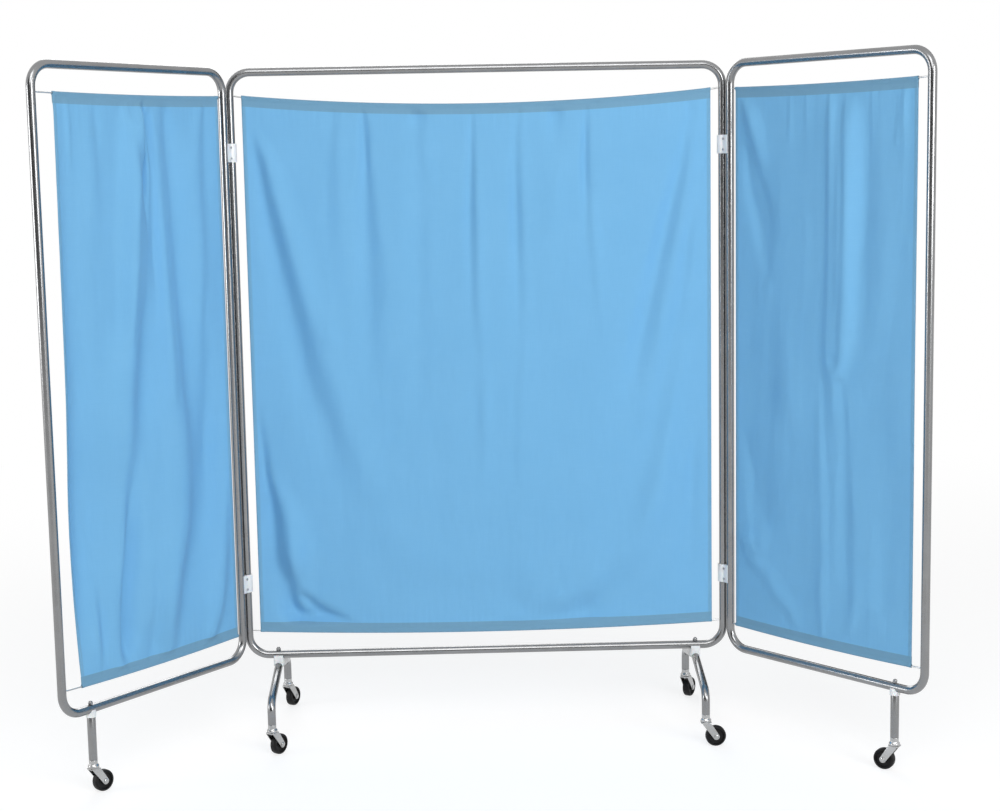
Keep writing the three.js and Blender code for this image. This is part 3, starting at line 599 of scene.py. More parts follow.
FOLDS["left"] = [
    [(263, 1575, 6, -28, 0), (263, 1540, 7, -44, 0), (263, 1480, 8, -52, 0), (264, 1420, 8, -46, 0),
     (266, 1370, 8, -30, 0), (268, 1320, 9, -12, 0), (271, 1280, 9, 0, 0)],
    [(266, 1577, 9, 3, -2), (290, 1520, 19, 42, -16), (278, 1447, 21, 7, -24), (265, 1380, 20, -1, -5),
     (271, 1320, 22, 6, 15), (280, 1231, 29, 16, 32), (296, 1152, 36, 21, 32), (308, 1051, 42, 8, 62),
     (327, 930, 53, 13, 85), (352, 800, 40, 28, 33), (351, 679, 26, -19, 27), (359, 558, 23, -44, 48),
     (382, 429, 25, -43, 53), (393, 328, 24, -36, 53), (404, 274, 20, 20, 6)],
    [(198, 1570, 15, -9, 4), (184, 1480, 27, -29, 18), (180, 1300, 34, -20, 27), (176, 1150, 33, -17, 33),
     (171, 1019, 37, -8, 41), (170, 898, 53, -1, 64), (161, 779, 68, 7, 86), (161, 681, 72, 9, 99),
     (179, 572, 68, 20, 102), (213, 474, 61, 36, 100), (240, 383, 54, 46, 74), (248, 290, 24, 18, 10)],
    [(240, 1540, 12, -17, -25), (233, 1420, 14, -12, -18), (231, 1200, 16, -4, -30), (226, 1000, 19, 22, -15),
     (224, 880, 16, 10, -6)],
    [(326, 1569, 16, -4, -6), (316, 1451, 31, 51, -27), (326, 1300, 29, 61, -18), (338, 1150, 20, 39, 3),
     (342, 1030, 15, 6, 11)],
    [(69, 1555, 18, -1, 16), (85, 1401, 33, 6, 25), (95, 1200, 26, 14, 10), (100, 1050, 24, 4, 11),
     (80, 901, 40, -25, 22), (74, 750, 36, -41, 14), (78, 580, 32, -8, -22)],
    [(15, 720, 12, 0, 1), (31, 601, 18, 20, 18), (53, 481, 29, 32, 14), (80, 381, 32, 31, 4),
     (106, 282, 21, 18, 20)],
    [(472, 640, 12, -1, 3), (464, 500, 14, 7, 3), (463, 380, 18, -8, 36), (468, 290, 13, 1, 5)],
    [(491, 1572, 7, 5, 1), (490, 1500, 7, 6, -1), (491, 1420, 7, 1, -1)],
    [(299, 500, 15, 4, 8), (300, 400, 18, -16, 16), (300, 320, 18, -12, -3), (312, 272, 13, -8, -1)],
    [(418, 1540, 18, -4, 11), (420, 1400, 24, 10, 9), (414, 1200, 24, -3, -1), (419, 950, 26, -4, 8)],
    [(530, 1540, 40, 6, 13), (530, 1250, 52, -2, 40), (527, 900, 66, -22, 71), (524, 600, 84, -54, 102),
     (530, 330, 40, -12, -12)],
]
FOLDS["right"] = [
    [(304, 1576, 7, -1, -1), (309, 1500, 14, 12, 13), (303, 1350, 16, 3, 22), (300, 1200, 16, -1, 19),
     (303, 1050, 18, 11, 15), (304, 951, 19, 13, 12), (318, 871, 18, 6, 9), (316, 780, 14, -1, 2),
     (322, 700, 14, -3, -2)],
    [(342, 1576, 7, -1, 2), (346, 1480, 7, -5, 1), (349, 1350, 8, -8, -1), (345, 1200, 10, -6, -4),
     (335, 1060, 12, 2, -8), (325, 970, 10, 7, 2)],
    [(380, 1578, 22, -6, 11), (381, 1500, 34, 12, -27), (381, 1350, 38, 13, -56), (375, 1200, 37, 14, -50),
     (368, 1080, 32, 26, -27), (357, 981, 25, 28, -11), (344, 921, 18, 16, -10)],
    [(421, 1574, 7, -1, 3), (423, 1450, 8, 1, 3), (422, 1300, 9, 2, 0), (420, 1180, 10, 0, 0),
     (417, 1060, 10, -2, 1)],
    [(351, 920, 9, 2, 0), (361, 820, 12, -1, 5), (359, 719, 15, -7, 4), (371, 600, 23, -5, 16),
     (372, 480, 23, -3, 14), (386, 379, 20, 11, 10), (367, 285, 10, 0, -1)],
    [(287, 890, 9, -1, -3), (291, 780, 12, -1, -7), (299, 650, 18, 0, -11), (302, 500, 17, 1, -9),
     (297, 380, 20, 10, -7), (296, 285, 11, 6, 0)],
    [(36, 1566, 10, 15, -1), (70, 1504, 25, 25, 4), (83, 1432, 25, 6, 19), (91, 1369, 20, -9, 5),
     (118, 1298, 22, -11, 3), (141, 1230, 18, -4, 1)],
    [(49, 1440, 10, -11, -1), (62, 1350, 18, -18, 4), (93, 1252, 25, -16, -6), (114, 1172, 19, -7, -3),
     (132, 1100, 12, 2, -1)],
    [(142, 1090, 19, -4, 0), (164, 951, 39, 6, 9), (159, 849, 49, 7, 22), (144, 749, 43, 5, 1),
     (118, 641, 47, -9, 6), (107, 550, 44, -14, 3), (93, 481, 42, 17, -20)],
    [(42, 483, 11, 15, 1), (58, 428, 16, 2, 6), (106, 406, 22, 6, 6), (149, 363, 24, 9, 3),
     (192, 316, 20, 7, 9), (219, 275, 10, 0, -1)],
    [(45, 750, 13, -7, 1), (61, 651, 18, -6, -5), (57, 559, 16, 2, -6), (86, 481, 15, -11, 0)],
    [(500, 1574, 7, 3, 1), (498, 1520, 7, 2, 4), (496, 1450, 9, 5, 1)],
    [(522, 1570, 8, 9, 0), (518, 1500, 11, 11, -3), (526, 1350, 12, -3, -3), (525, 1200, 14, 3, 3)],
    [(185, 1574, 7, -1, 0), (188, 1520, 8, 3, 2), (187, 1450, 8, 2, 0)],
    [(242, 1574, 7, 0, 0), (243, 1520, 9, 5, -1), (255, 1300, 19, -3, -2), (257, 1120, 19, -4, -3)],
    [(469, 1300, 18, 2, 4), (474, 1100, 25, 2, -5), (457, 850, 42, -10, 2), (462, 600, 50, -10, -9),
     (449, 400, 35, -1, -14)],
]
SEEDS = {"centre": 11.0, "left": 23.0, "right": 37.0}
LINE_STEPS = 5
# Past this many of its widths a fold is flat
CUT_OFF = 3.2


def eased(x, low, high):
    t = min(max((x - low) / (high - low), 0), 1)
    return t * t * (3 - 2 * t)


def curved(points):
    """A smooth line of points through the given ones."""
    last = len(points) - 1
    made = []
    for i in range(last):
        a, b, c, d = (points[min(max(k, 0), last)] for k in (i - 1, i, i + 1, i + 2))
        for k in range(LINE_STEPS):
            t = k / LINE_STEPS
            made.append(tuple(
                q + 0.5 * t * (r - p + t * (2 * p - 5 * q + 4 * r - s + t * (3 * (q - r) + s - p)))
                for p, q, r, s in zip(a, b, c, d)
            ))
    made.append(tuple(points[-1]))
    return made


class Fold:
    """One fold's line in the panel's plane, in metres."""

    def __init__(self, points):
        self.points = curved([
            (x / 1000, z / 1000, width / 1000, even / 2000, odd / 2000) for x, z, width, even, odd in points
        ])
        reach = CUT_OFF * max(point[2] for point in self.points)
        xs, zs = [p[0] for p in self.points], [p[1] for p in self.points]
        self.low = (min(xs) - reach, min(zs) - reach)
        self.high = (max(xs) + reach, max(zs) + reach)

    def depth(self, x, z):
        """How far the fold stands forward, from the nearest place on its line."""
        if not (self.low[0] < x < self.high[0] and self.low[1] < z < self.high[1]):
            return 0
        best = None
        for a, b in zip(self.points, self.points[1:]):
            dx, dz = b[0] - a[0], b[1] - a[1]
            square = dx * dx + dz * dz
            t = min(max(((x - a[0]) * dx + (z - a[1]) * dz) / square, 0), 1)
            ox, oz = x - a[0] - t * dx, z - a[1] - t * dz
            gap = ox * ox + oz * oz
            if best is None or gap < best[0]:
                side = (oz * dx - ox * dz) / sqrt(square)
                best = (gap, side, t, a, b)
        gap, side, t, a, b = best
        width, even, odd = (p + (q - p) * t for p, q in zip(a[2:], b[2:]))
        if gap > (CUT_OFF * width) ** 2:
            return 0
        return (even + odd * side / width) * exp(-gap / (width * width))


class Curtain:
    """Where a curtain's cloth hangs: its middle layer, in the panel's own axes."""

    def __init__(self, name):
        self.name = name
        self.span, self.front, self.seed = SPANS[name], FRONTS[name], SEEDS[name]
        self.folds = [Fold(points) for points in FOLDS[name]]
        self.near, far = MARGINS[name]
        self.width = self.span - self.near - far

    def levels(self, x):
        return wire_height(self.name, "top", x), wire_height(self.name, "bottom", x)

    def depth(self, x, z):
        """How far the cloth stands forward at a place along the panel and a height."""
        top, bottom = self.levels(x)
        from_wire = min(top - z, z - bottom)
        hang = eased(from_wire, HANG_FROM, HANG_TO)
        pinch = eased(from_wire, PINCH_FROM, PINCH_TO)
        calm = eased(min(x, self.span - x), CALM_FROM, CALM_TO)
        folds = sum(fold.depth(x, z) for fold in self.folds)
        place = Vector((x * WAVES_ALONG, self.seed, z * WAVES_UP))
        soft = WAVE_DEPTH * noise.noise(place) + RIPPLE_DEPTH * noise.noise(place * RIPPLES_TO_WAVE)
        fine = WRINKLE_DEPTH * noise.noise(Vector((x * WRINKLES_ALONG, self.seed, z * WRINKLES_UP)))
        which = TOP_GATHERS if top - z < z - bottom else BOTTOM_GATHERS
        gather = noise.noise(Vector((x * GATHERS_ALONG, self.seed + 5, which)))
        fall = exp(-from_wire / PUCKER_REACH)
        turn = 2 * pi * (x / PUCKER_PITCH + GATHER_SHIFT * gather)
        pucker = PUCKER_DEPTH * fall * sin(turn) * (GATHER_LEAST + abs(gather))
        return calm * (pinch * folds + hang * (soft + fine) + pinch * pucker)

    def point(self, x, z, behind=0.0):
        return Vector((x, self.front * (self.depth(x, z) - behind), z))


def curtain_columns(width):
    """Places of the cloth's columns from its near edge, close together in the side hems."""
    between = width - 2 * SIDE_HEM
    count = round(between / COLUMN_STEP)
    inner = [SIDE_HEM + between * k / count for k in range(1, count)]
    return [0, SIDE_HEM / 2, SIDE_HEM, *inner, width - SIDE_HEM, width - SIDE_HEM / 2, width]


def curtain_rows(height):
    """Rows from the back of the top hem round the top wire, down, and round the bottom wire.

    Each is the share of the height, the offset from there, how far behind the middle layer it lies,
    and one where it belongs to a hem."""
    double = 2 * CLOTH_HALF
    seam = [HEM_DEPTH * share for share in SEAM_SHARES]
    turns = [pi * k / POCKET_STEPS for k in range(POCKET_STEPS + 1)]
    round_wire = [(POCKET_RADIUS * sin(turn), POCKET_RADIUS * cos(turn)) for turn in turns]
    rows = [(1, -level, double, 1) for level in seam]
    rows += [(1, up, back, 1) for up, back in round_wire]
    rows += [(1, -level, 0, 1) for level in reversed(seam)]
    steps = round(height / ROW_STEP)
    edge = HEM_DEPTH + HEM_EDGE
    rows += [(1 - k / steps, edge * (2 * k / steps - 1), 0, 0) for k in range(steps + 1)]
    rows += [(0, level, 0, 1) for level in seam]
    rows += [(0, -up, -back, 1) for up, back in round_wire]
    rows += [(0, level, double, 1) for level in reversed(seam)]
    return rows


def make_curtain(name):
    """One sheet, folded round each wire and sewn down, with narrow hems at its sides."""
    curtain = Curtain(name)
    width = curtain.width
    places = curtain_columns(width)
    height = WIRES[name]["top"][0] - WIRES[name]["bottom"][0]
    rows = curtain_rows(height)
    flat = [0]
    for (up0, z0, y0, _), (up1, z1, y1, _) in zip(rows, rows[1:]):
        flat.append(flat[-1] + hypot((up1 - up0) * height + z1 - z0, y1 - y0))
    verts, uvs, hem_shade_mask, thick = [], [], [], []
    for (up, offset, behind, hem_shade), run in zip(rows, flat):
        for place in places:
            x = curtain.near + place
            top, bottom = curtain.levels(x)
            verts.append(curtain.point(x, bottom + (top - bottom) * up + offset, behind))
            uvs.append((place, run))
            side = place <= SIDE_HEM or place >= width - SIDE_HEM
            # Where the hems' painted shade goes, the side hems taking part of it
            hem_shade_mask.append(1.0 if hem_shade else SIDE_HEM_SHADE if side else 0.0)
            thick.append(1.0 if side else 0.5)
    stride = len(places)
    corners = [r * stride + i for r in range(len(rows) - 1) for i in range(stride - 1)]
    faces = [(a, a + 1, a + 1 + stride, a + stride) for a in corners]
    cloth = mesh_object(f"{name}_cloth", verts, faces, [[uvs[i] for i in face] for face in faces])
    marks = cloth.data.attributes.new("hem_shade", "FLOAT", "POINT")
    marks.data.foreach_set("value", hem_shade_mask)
    group = cloth.vertex_groups.new(name="layers")
    for i, weight in enumerate(thick):
        group.add([i], weight, "REPLACE")
    # The side hems are two layers thick, and the rest is one
    layer = cloth.modifiers.new("thickness", "SOLIDIFY")
    given(layer, thickness=4 * CLOTH_HALF, offset=0, vertex_group=group.name)
    cloth = settle(cloth)
    cloth.vertex_groups.clear()
    dress(cloth, AXES[name], CLOTH, BODIES[name], f"{name}_curtain")
    stitches = make_stitches(curtain)


def stitch_places(curtain):
    """Each stitch's place, height and direction, and the cloth's depth behind it and in front."""
    near, width = curtain.near, curtain.width
    places = []
    count = int(width / STITCH_STEP)
    for k in range(count):
        x = near + STITCH_MARGIN + (k + 0.5) * (width - 2 * STITCH_MARGIN) / count
        onward = curtain.levels(x + SLOPE_STEP)
        for level, next_level, inset in zip(curtain.levels(x), onward, (-STITCH_INSET, STITCH_INSET)):
            run = Vector((SLOPE_STEP, 0, next_level - level)).normalized()
            places.append((x, level + inset, run, 3 * CLOTH_HALF, CLOTH_HALF))
    for x in (near + SIDE_STITCH_INSET, near + width - SIDE_STITCH_INSET):
        top, bottom = curtain.levels(x)
        start, end = top - HEM_DEPTH, bottom + HEM_DEPTH
        count = int((start - end) / STITCH_STEP)
        for k in range(count):
            z = start + (end - start) * (k + 0.5) / count
            places.append((x, z, UP, 2 * CLOTH_HALF, 2 * CLOTH_HALF))
    return places


def make_stitches(curtain):
    """The thread of every hem: short stitches that show on both sides of the cloth."""
    name, out = curtain.name, Y * curtain.front
    verts, faces = [], []
    for x, z, run, back, front in stitch_places(curtain):
        middle, half = curtain.point(x, z), run * (STITCH_LENGTH / 2)
        aside = Vector((run.z, 0, -run.x)) * THREAD_RADIUS
        a = len(verts)
        verts += [curtain.point(x + s * half.x, z + s * half.z) for s in (-1, 1)]
        verts += [middle + aside, middle - aside]
        verts += [middle + out * (front + THREAD_RADIUS), middle - out * (back + THREAD_RADIUS)]
        for i, j in ((2, 4), (4, 3), (3, 5), (5, 2)):
            faces += [(a, a + i, a + j), (a + 1, a + j, a + i)]
    sewn = faced_out(mesh_object(f"{name}_stitches", verts, faces))
    dress(sewn, AXES[name], THREAD, BODIES[name])
    return sewn


# Saddles, bolts and nuts
SADDLE_WIDTH = 0.024
SADDLE_GRIP = 0.009
SADDLE_CORNER = 0.004
SADDLE_EDGE = 0.0012
SPIGOT_LENGTH = 0.025
SPIGOT_RADIUS = TUBE_RADIUS - TUBE_WALL - 0.001
FINE_EDGE = 0.0005
CUT_EDGE = 0.0004
TUBE_END_EDGE = 0.0006
BOLT_RADIUS = 0.003
BOLT_END = 0.0047
HEAD_RADIUS = 0.0058
HEAD_HEIGHT = 0.004
HEAD_GAP = 0.0009
NUT_SEAT = BAR_HEIGHT + TUBE_RADIUS + FIT
NUT_HEIGHT = 0.0055
DOME_RADIUS = 0.0046
DOME_HEIGHT = 0.0035
DOME_FOOT_RADIUS = 0.0048
DOME_FOOT_DEPTH = 0.001
DOME_TURNS = (0, 0.3, 0.6, 0.9, 1.2, 1.4)
TOOL_REACH = 0.03


def moved_to(axes, x, y):
    """The same axes with their origin at another place on the floor."""
    return axes @ Matrix.Translation(axes.inverted() @ Vector((x, y, 0)))


def foot_stations():
    slope = atan((CROWN_HEIGHT - SHOULDER_HEIGHT) / FOOT_REACH)
    peak = CROWN_HEIGHT + CROWN_RADIUS * (1 / cos(slope) - 1)
    places = (
        (-FOOT_REACH, CASTOR_HEIGHT), (-FOOT_REACH, SHOULDER_HEIGHT), (0, peak),
        (FOOT_REACH, SHOULDER_HEIGHT), (FOOT_REACH, CASTOR_HEIGHT),
    )
    return bend([Vector((0, y, z)) for y, z in places], [SHOULDER_RADIUS, CROWN_RADIUS, SHOULDER_RADIUS])


def bar(name, radius, start, end, sides=ROUND):
    """A round bar from one point to another."""
    direction = (end - start).normalized()
    across = direction.orthogonal().normalized()
    return sweep(name, [(start, direction), (end, direction)], radius, across, sides)


def bar_tool():
    """The frame's bottom bar with its fit round it, to cut a seat for it."""
    reach, middle = X * TOOL_REACH, UP * BAR_HEIGHT
    return bar("bar_tool", TUBE_RADIUS + FIT, middle - reach, middle + reach)


def make_foot(side):
    axes = moved_to(AXES["centre"], place_of(f"{side}_front_swivel_turn").x, left_hinge.y)
    tube = sweep(f"{side}_foot_tube", foot_stations(), TUBE_RADIUS, X)
    dress(tube, axes, STEEL, "centre", f"{side}_foot")
    low, high = CROWN_HEIGHT + TUBE_RADIUS - SADDLE_GRIP, BAR_HEIGHT - TUBE_RADIUS + SADDLE_GRIP
    outline = rounded_rectangle(SADDLE_WIDTH, SADDLE_WIDTH, SADDLE_CORNER, 6)
    block = lift(plate(f"{side}_foot_seat", [outline], high - low, SADDLE_EDGE), (low + high) / 2)
    seat = cut(block, bar_tool(), sweep("foot_tool", foot_stations(), TUBE_RADIUS + FIT, X))
    dress(bevelled(seat, CUT_EDGE), axes, WHITE, "centre", f"{side}_foot_saddle")
    make_bolt(f"{side}_foot", CROWN_HEIGHT - TUBE_RADIUS - HEAD_GAP, axes, "centre")


def make_leg(side):
    leg = place_of(f"{side}_leg_swivel_turn")
    axes, body = moved_to(AXES[side], leg.x, leg.y), BODIES[side]
    tube = bar(f"{side}_leg_tube", TUBE_RADIUS, UP * CASTOR_HEIGHT, UP * LEG_TOP)
    dress(bevelled(tube, TUBE_END_EDGE), axes, STEEL, body, f"{side}_leg")
    low, high = LEG_TOP - SPIGOT_LENGTH, BAR_HEIGHT - TUBE_RADIUS + SADDLE_GRIP
    seat, flange = LEG_TOP + FIT, SADDLE_WIDTH / 2
    profile = [
        (0, low), (SPIGOT_RADIUS, low), (SPIGOT_RADIUS, seat), (flange, seat), (flange, high), (0, high),
    ]
    saddle = cut(lathe(f"{side}_leg_seat", rounded(profile, SADDLE_EDGE)), bar_tool())
    dress(saddle, axes, WHITE, body, f"{side}_leg_saddle")
    make_bolt(f"{side}_leg", low - FIT, axes, body)


def hexagon(name, height):
    return plate(name, [arc(0, 0, HEAD_RADIUS, 0, 300, 5)], height, FINE_EDGE)


def make_bolt(name, head_top, axes, body):
    head = lift(hexagon(f"{name}_bolt_head", HEAD_HEIGHT), head_top - HEAD_HEIGHT / 2)
    shank = bar(f"{name}_shank", BOLT_RADIUS, UP * head_top, UP * (NUT_SEAT + BOLT_END), SMALL_ROUND)
    dress(joined(f"{name}_screw", [head, shank]), axes, ZINC, body, f"{name}_bolt")
    wrench = lift(hexagon(f"{name}_hexagon", NUT_HEIGHT), NUT_SEAT + NUT_HEIGHT / 2)
    shoulder = NUT_SEAT + NUT_HEIGHT
    dome = [(0, shoulder - DOME_FOOT_DEPTH), (DOME_FOOT_RADIUS, shoulder - DOME_FOOT_DEPTH)]
    for turn in DOME_TURNS:
        dome.append((DOME_RADIUS * cos(turn), shoulder + DOME_HEIGHT * sin(turn)))
    dome.append((0, shoulder + DOME_HEIGHT))
    nut = shade(joined(f"{name}_cap_nut", [wrench, lathe(f"{name}_dome", dome, MEDIUM_ROUND)]))
    dress(nut, axes, STEEL, body, f"{name}_nut")


# Hinge clips
CLIP_HEIGHT = 0.045
CLIP_WALL = 0.003
CLIP_EDGE = 0.0007
HORN_WALL = 0.0022
CLIPS = {"upper": TOP_BAR - 0.193, "lower": BAR_HEIGHT + 0.186}
SCREW_PROFILE = [(0, 0.0016), (0.0012, 0.0016), (0.0024, 0.0011), (0.003, 0.0004), (0.003, 0), (0, 0)]
SCREW_LEVELS = (-0.013, 0.013)
SCREW_PLACE = HINGE_SPACING / 2 + 0.001
SCREW_SEAT = 0.0124
SLOT_REACH, SLOT_HALF, SLOT_DEPTH, SLOT_MIDDLE, SLOT_EDGE = 0.004, 0.0003, 0.0012, 0.0017, 0.0001


def make_screw():
    """A slotted pan head, its seat at the origin and its face up."""
    corners = [(x * SLOT_REACH, y * SLOT_HALF) for x, y in ((-1, -1), (1, -1), (1, 1), (-1, 1))]
    head = lathe("screw_head", SCREW_PROFILE, SMALL_ROUND)
    return cut(head, lift(plate("slot_tool", [corners], SLOT_DEPTH, SLOT_EDGE), SLOT_MIDDLE))


def make_clip(side, which):
    bore = TUBE_RADIUS + FIT
    horn = bore + HORN_WALL
    hinge = AXES[side] @ Matrix.Translation((-HINGE_SPACING, 0, CLIPS[which]))
    outline = arc(0, 0, bore + CLIP_WALL, 45, 315, 36)
    outline += [(HINGE_SPACING, -horn), *arc(HINGE_SPACING, 0, bore, 270, 90, 24), (HINGE_SPACING, horn)]
    clip = plate(f"{side}_{which}_hinge", [outline, arc(0, 0, bore, 0, 350, 35)], CLIP_HEIGHT, CLIP_EDGE)
    dress(clip, hinge, WHITE, BODIES[side], f"{side}_{which}_clip")
    front = FRONTS[side]
    turn = Matrix.Rotation(-front * pi / 2, 4, "X")
    screws = []
    for level in SCREW_LEVELS:
        place = Matrix.Translation((SCREW_PLACE, front * SCREW_SEAT, level))
        screws.append(move_mesh(make_screw(), place @ turn))
    dress(shade(joined(f"{side}_{which}_screws", screws)), hinge, ZINC, BODIES[side])


# Castors
WHEEL_RADIUS = 0.025
WHEEL_HALF = 0.010
WHEEL_BORE = 0.0038
WHEEL_EDGE = 0.0008
WHEEL_ROUND = 64
# Half of a wheel's section, as (radius, half width): hub, web, rim and tread
WHEEL_PROFILE = [
    (0.0085, WHEEL_HALF), (0.0085, 0.0045), (0.018, 0.0045), (0.0195, 0.0095), (0.0215, 0.0096),
    (0.0242, 0.0075), (WHEEL_RADIUS, 0.0045), (WHEEL_RADIUS, 0.0),
]
TRAIL = 0.024
FORK_TOP = 0.061
FORK_PLATE = 0.003
FORK_LENGTH = 0.026
FORK_CORNER = 0.006
FORK_EDGE = 0.0007
CHEEK = 0.002
CHEEK_BACK = 0.009
CHEEK_INNER = WHEEL_HALF + FIT
CHEEK_OUTER = CHEEK_INNER + CHEEK
BOSS_RADIUS = 0.008
PIN_RADIUS, PIN_HEAD_RADIUS, PIN_HEAD_HEIGHT = 0.004, 0.0065, 0.003
CUP_RADIUS, CUP_HEIGHT, CUP_BEVEL = 0.013, 0.005, 0.004
PLUG_RADIUS, PLUG_HEIGHT = 0.0078, 0.026
STEM_EDGE = 0.0011
AXLE_RADIUS, AXLE_HEAD_RADIUS, AXLE_FACE_RADIUS = 0.0035, 0.006, 0.0055
AXLE_HEAD_HEIGHT, AXLE_HEAD_CROWN = 0.002, 0.0008
CASTORS = {
    "left_leg": "left_panel", "right_leg": "right_panel",
    "left_front": "centre", "left_rear": "centre", "right_front": "centre", "right_rear": "centre",
}
ON_SIDE = Matrix.Rotation(pi / 2, 4, "X")
ON_AXLE = Matrix.Translation((TRAIL, 0, WHEEL_RADIUS)) @ ON_SIDE


def castor_axes(name):
    """The castor's axes: their origin on the floor below its swivel, Z up and X along its trail."""
    swivel = place_of(f"{name}_swivel_turn")
    return upright(swivel, towards(swivel, place_of(f"{name}_wheel_spin")))


def make_stem(name, axes):
    head_top, cup = FORK_TOP - FORK_PLATE - FIT, FORK_TOP + FIT
    head, cup_top = head_top - PIN_HEAD_HEIGHT, cup + CUP_HEIGHT
    collar, plug_top = CASTOR_HEIGHT - FIT, CASTOR_HEIGHT + PLUG_HEIGHT
    profile = [
        (0, head), (PIN_HEAD_RADIUS, head), (PIN_HEAD_RADIUS, head_top), (PIN_RADIUS, head_top),
        (PIN_RADIUS, cup), (CUP_RADIUS, cup), (CUP_RADIUS, cup_top), (TUBE_RADIUS, cup_top + CUP_BEVEL),
        (TUBE_RADIUS, collar), (PLUG_RADIUS, collar), (PLUG_RADIUS, plug_top), (0, plug_top),
    ]
    stem = lathe(f"{name}_king_pin", rounded(profile, STEM_EDGE))
    dress(stem, axes, ZINC, CASTORS[name], f"{name}_stem")


def make_fork(name, axes):
    middle = FORK_TOP - FORK_PLATE / 2
    outline = rounded_rectangle(FORK_LENGTH, 2 * CHEEK_OUTER, FORK_CORNER, 8)
    parts = [lift(plate(f"{name}_fork_top", [outline], FORK_PLATE, FORK_EDGE), middle)]
    outline = [(-CHEEK_BACK, middle), (-CHEEK_BACK, FORK_TOP - FORK_PLATE - CHEEK)]
    outline += arc(TRAIL, WHEEL_RADIUS, BOSS_RADIUS, 205, 375, 20)
    outline += [(FORK_LENGTH / 2 - CHEEK, middle)]
    for side in (-1, 1):
        place = Matrix.Translation((0, side * (CHEEK_INNER + CHEEK / 2), 0))
        parts.append(move_mesh(plate("cheek", [outline], CHEEK, FINE_EDGE), place @ ON_SIDE))
    dress(shade(joined(f"{name}_yoke", parts)), axes, ZINC, f"{name}_swivel", f"{name}_fork")


def make_axle(name, axes):
    seat = CHEEK_OUTER + FIT
    end = seat + AXLE_HEAD_HEIGHT
    half = [
        (AXLE_RADIUS, seat), (AXLE_HEAD_RADIUS, seat), (AXLE_FACE_RADIUS, end - AXLE_HEAD_CROWN),
        (AXLE_RADIUS, end), (0, end),
    ]
    profile = [(r, -h) for r, h in reversed(half)] + half
    axle = lathe(f"{name}_rivet", rounded(profile, FINE_EDGE), MEDIUM_ROUND)
    dress(axle, axes @ ON_AXLE, ZINC, f"{name}_swivel", f"{name}_axle")


def make_wheel(name, axes):
    profile = [(WHEEL_BORE, 0.0), (WHEEL_BORE, WHEEL_HALF), *WHEEL_PROFILE]
    profile += [(r, -h) for r, h in reversed(profile[:-1])]
    profile[-1] = profile[0]
    wheel = lathe(f"{name}_tyre", rounded(profile, WHEEL_EDGE, 3), WHEEL_ROUND)
    dress(wheel, axes @ ON_AXLE, BLACK, f"{name}_rolling", f"{name}_wheel")


for panel in AXES:
    make_frame(panel)
    make_wire(panel, "top")
    make_wire(panel, "bottom")
    make_curtain(panel)
for side in ("left", "right"):
    make_foot(side)
    make_leg(side)
    for which in CLIPS:
        make_clip(side, which)
for castor in CASTORS:
    axes = castor_axes(castor)
    for make in (make_stem, make_fork, make_axle, make_wheel):
        make(castor, axes)


# Camera at the photograph's place, measured from the middle of the left hinge and the floor
CAMERA_PLACE = Vector((0.55997, -4.39912, 1.40400))
CAMERA_YAW = 0.01899
CAMERA_PITCH = 0.13136
CAMERA_ROLL = -0.01843
CAMERA_LENS = 64.145
CAMERA_SENSOR = 36


def make_camera():
    turns = ((-CAMERA_YAW, "Z"), (pi / 2 - CAMERA_PITCH, "X"), (CAMERA_ROLL, "Z"))
    yaw, pitch, roll = [Matrix.Rotation(angle, 4, axis) for angle, axis in turns]
    data = given(bpy.data.cameras.new("camera"), sensor_width=CAMERA_SENSOR, lens=CAMERA_LENS)
    camera = new_object("camera", data)
    below_hinge = Vector((left_hinge.x, left_hinge.y, 0))
    camera.matrix_world = Matrix.Translation(below_hinge + CAMERA_PLACE) @ yaw @ pitch @ roll
    scene.camera = camera


# Floor, lamps and world
FLOOR_HALF = 30.0
FLOOR_NEAR = 1.7
FLOOR_FAR = 5.0
FLOOR_GLOW = 0.715
FLOOR_TONE = 0.36
FLOOR_GRAIN = 30.0


def seen_directly(tree):
    """One for what the camera sees, also in metal or through something clear."""
    path = add(tree, "LightPath").outputs
    first = maths(tree, "MAXIMUM", path["Is Camera Ray"], path["Is Glossy Ray"])
    return maths(tree, "MAXIMUM", first, path["Is Transmission Ray"])


def glowing(tree, kind, strength):
    return add(tree, kind, {"Color": (1, 1, 1, 1), "Strength": strength}).outputs[0]


def make_floor():
    """A pale floor that keeps the shadow near the object and fades into the white background."""
    corners = [(x * FLOOR_HALF, y * FLOOR_HALF, 0) for x, y in ((-1, -1), (1, -1), (1, 1), (-1, 1))]
    floor = mesh_object("floor", corners, [(0, 1, 2, 3)])
    made, tree, shader = new_material("pale_floor", {})
    tree.nodes.remove(shader)
    grain = cloudy(tree, located(tree, "Object"), FLOOR_GRAIN)
    tone = blended(tree, grain, (0.82, 0.82, 0.82, 1), (0.8, 0.8, 0.8, 1))
    lit = add(tree, "BsdfDiffuse", {"Color": tone}).outputs[0]
    thin = add(tree, "BsdfDiffuse", {"Color": (FLOOR_TONE, FLOOR_TONE, FLOOR_TONE, 1)}).outputs[0]
    near = add(tree, "AddShader", {0: thin, 1: glowing(tree, "Emission", FLOOR_GLOW)}).outputs[0]
    place = add(tree, "TexCoord").outputs["Object"]
    distance = add(tree, "VectorMath", {0: place}, operation="LENGTH").outputs["Value"]
    span = {"Value": distance, "From Min": FLOOR_NEAR, "From Max": FLOOR_FAR}
    fade = add(tree, "MapRange", span, interpolation_type="SMOOTHSTEP").outputs[0]
    seen = add(tree, "MixShader", {0: fade, 1: near, 2: glowing(tree, "Emission", 1.0)}).outputs[0]
    mix = add(tree, "MixShader", {0: seen_directly(tree), 1: lit, 2: seen}).outputs[0]
    feed(tree, tree.nodes["Material Output"], {"Surface": mix})
    floor.data.materials.append(made)


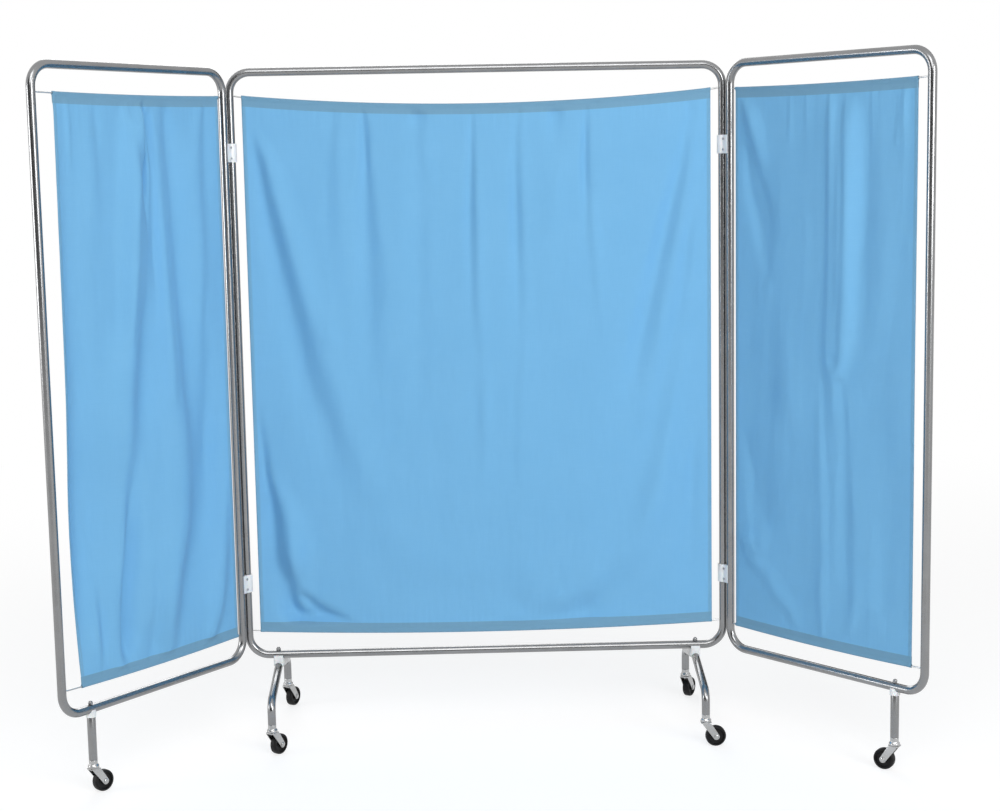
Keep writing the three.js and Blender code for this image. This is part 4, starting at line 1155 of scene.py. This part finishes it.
FLAG_RADIUS = 8.0
FLAG_HALF_ANGLE = 38
FLAG_STEPS = 16
FLAG_FOOT = 0.5
FLAG_TOP = 6.5


def make_flag(name, azimuth):
    """A dark studio flag, a standing curved card that only polished metal shows."""
    verts = []
    for x, y in arc(0, 0, FLAG_RADIUS, azimuth - FLAG_HALF_ANGLE, azimuth + FLAG_HALF_ANGLE, FLAG_STEPS):
        verts += [(x, y, FLAG_FOOT), (x, y, FLAG_TOP)]
    faces = [(2 * k, 2 * k + 2, 2 * k + 3, 2 * k + 1) for k in range(FLAG_STEPS)]
    flag = mesh_object(name, verts, faces)
    dark = new_material(f"{name}_cloth", {"Base Color": (0.03, 0.03, 0.03, 1), "Roughness": 0.9})[0]
    flag.data.materials.append(dark)
    given(flag, visible_camera=False, visible_diffuse=False, visible_transmission=False, visible_shadow=False)


# Each lamp's bearing in degrees, height, distance, size and power. All are aimed at one height.
LAMPS = {
    "key": (-54, 2.1, 5.5, 2.0, 115),
    "front": (-90, 4.1, 4.5, 3.2, 121),
    "side": (-167, 1.4, 5.5, 1.4, 61),
    "rear": (100, 3.4, 5.5, 3.0, 105),
}
LAMP_AIM = UP * 0.9
WORLD_STRENGTH = 0.33


def make_lamp(name, azimuth, height, distance, size, power):
    data = bpy.data.lights.new(name, "AREA")
    lamp = new_object(name, given(data, shape="RECTANGLE", size=size, size_y=size, energy=power))
    turn = radians(azimuth)
    place = Vector((distance * cos(turn), distance * sin(turn), height))
    lamp.location = place
    lamp.rotation_euler = (LAMP_AIM - place).to_track_quat("-Z", "Y").to_euler()


def make_world():
    world = bpy.data.worlds.new("studio")
    world.use_nodes = True
    tree = world.node_tree
    tree.nodes.clear()
    plain, white = [glowing(tree, "Background", strength) for strength in (WORLD_STRENGTH, 1.0)]
    mix = add(tree, "MixShader", {0: seen_directly(tree), 1: plain, 2: white}).outputs[0]
    add(tree, "OutputWorld", {"Surface": mix})
    scene.world = world


make_camera()
make_floor()
make_world()
make_flag("front_flag", -105)
make_flag("rear_flag", 75)
for name, settings in LAMPS.items():
    make_lamp(name, *settings)

scene.view_settings.view_transform = "Standard"
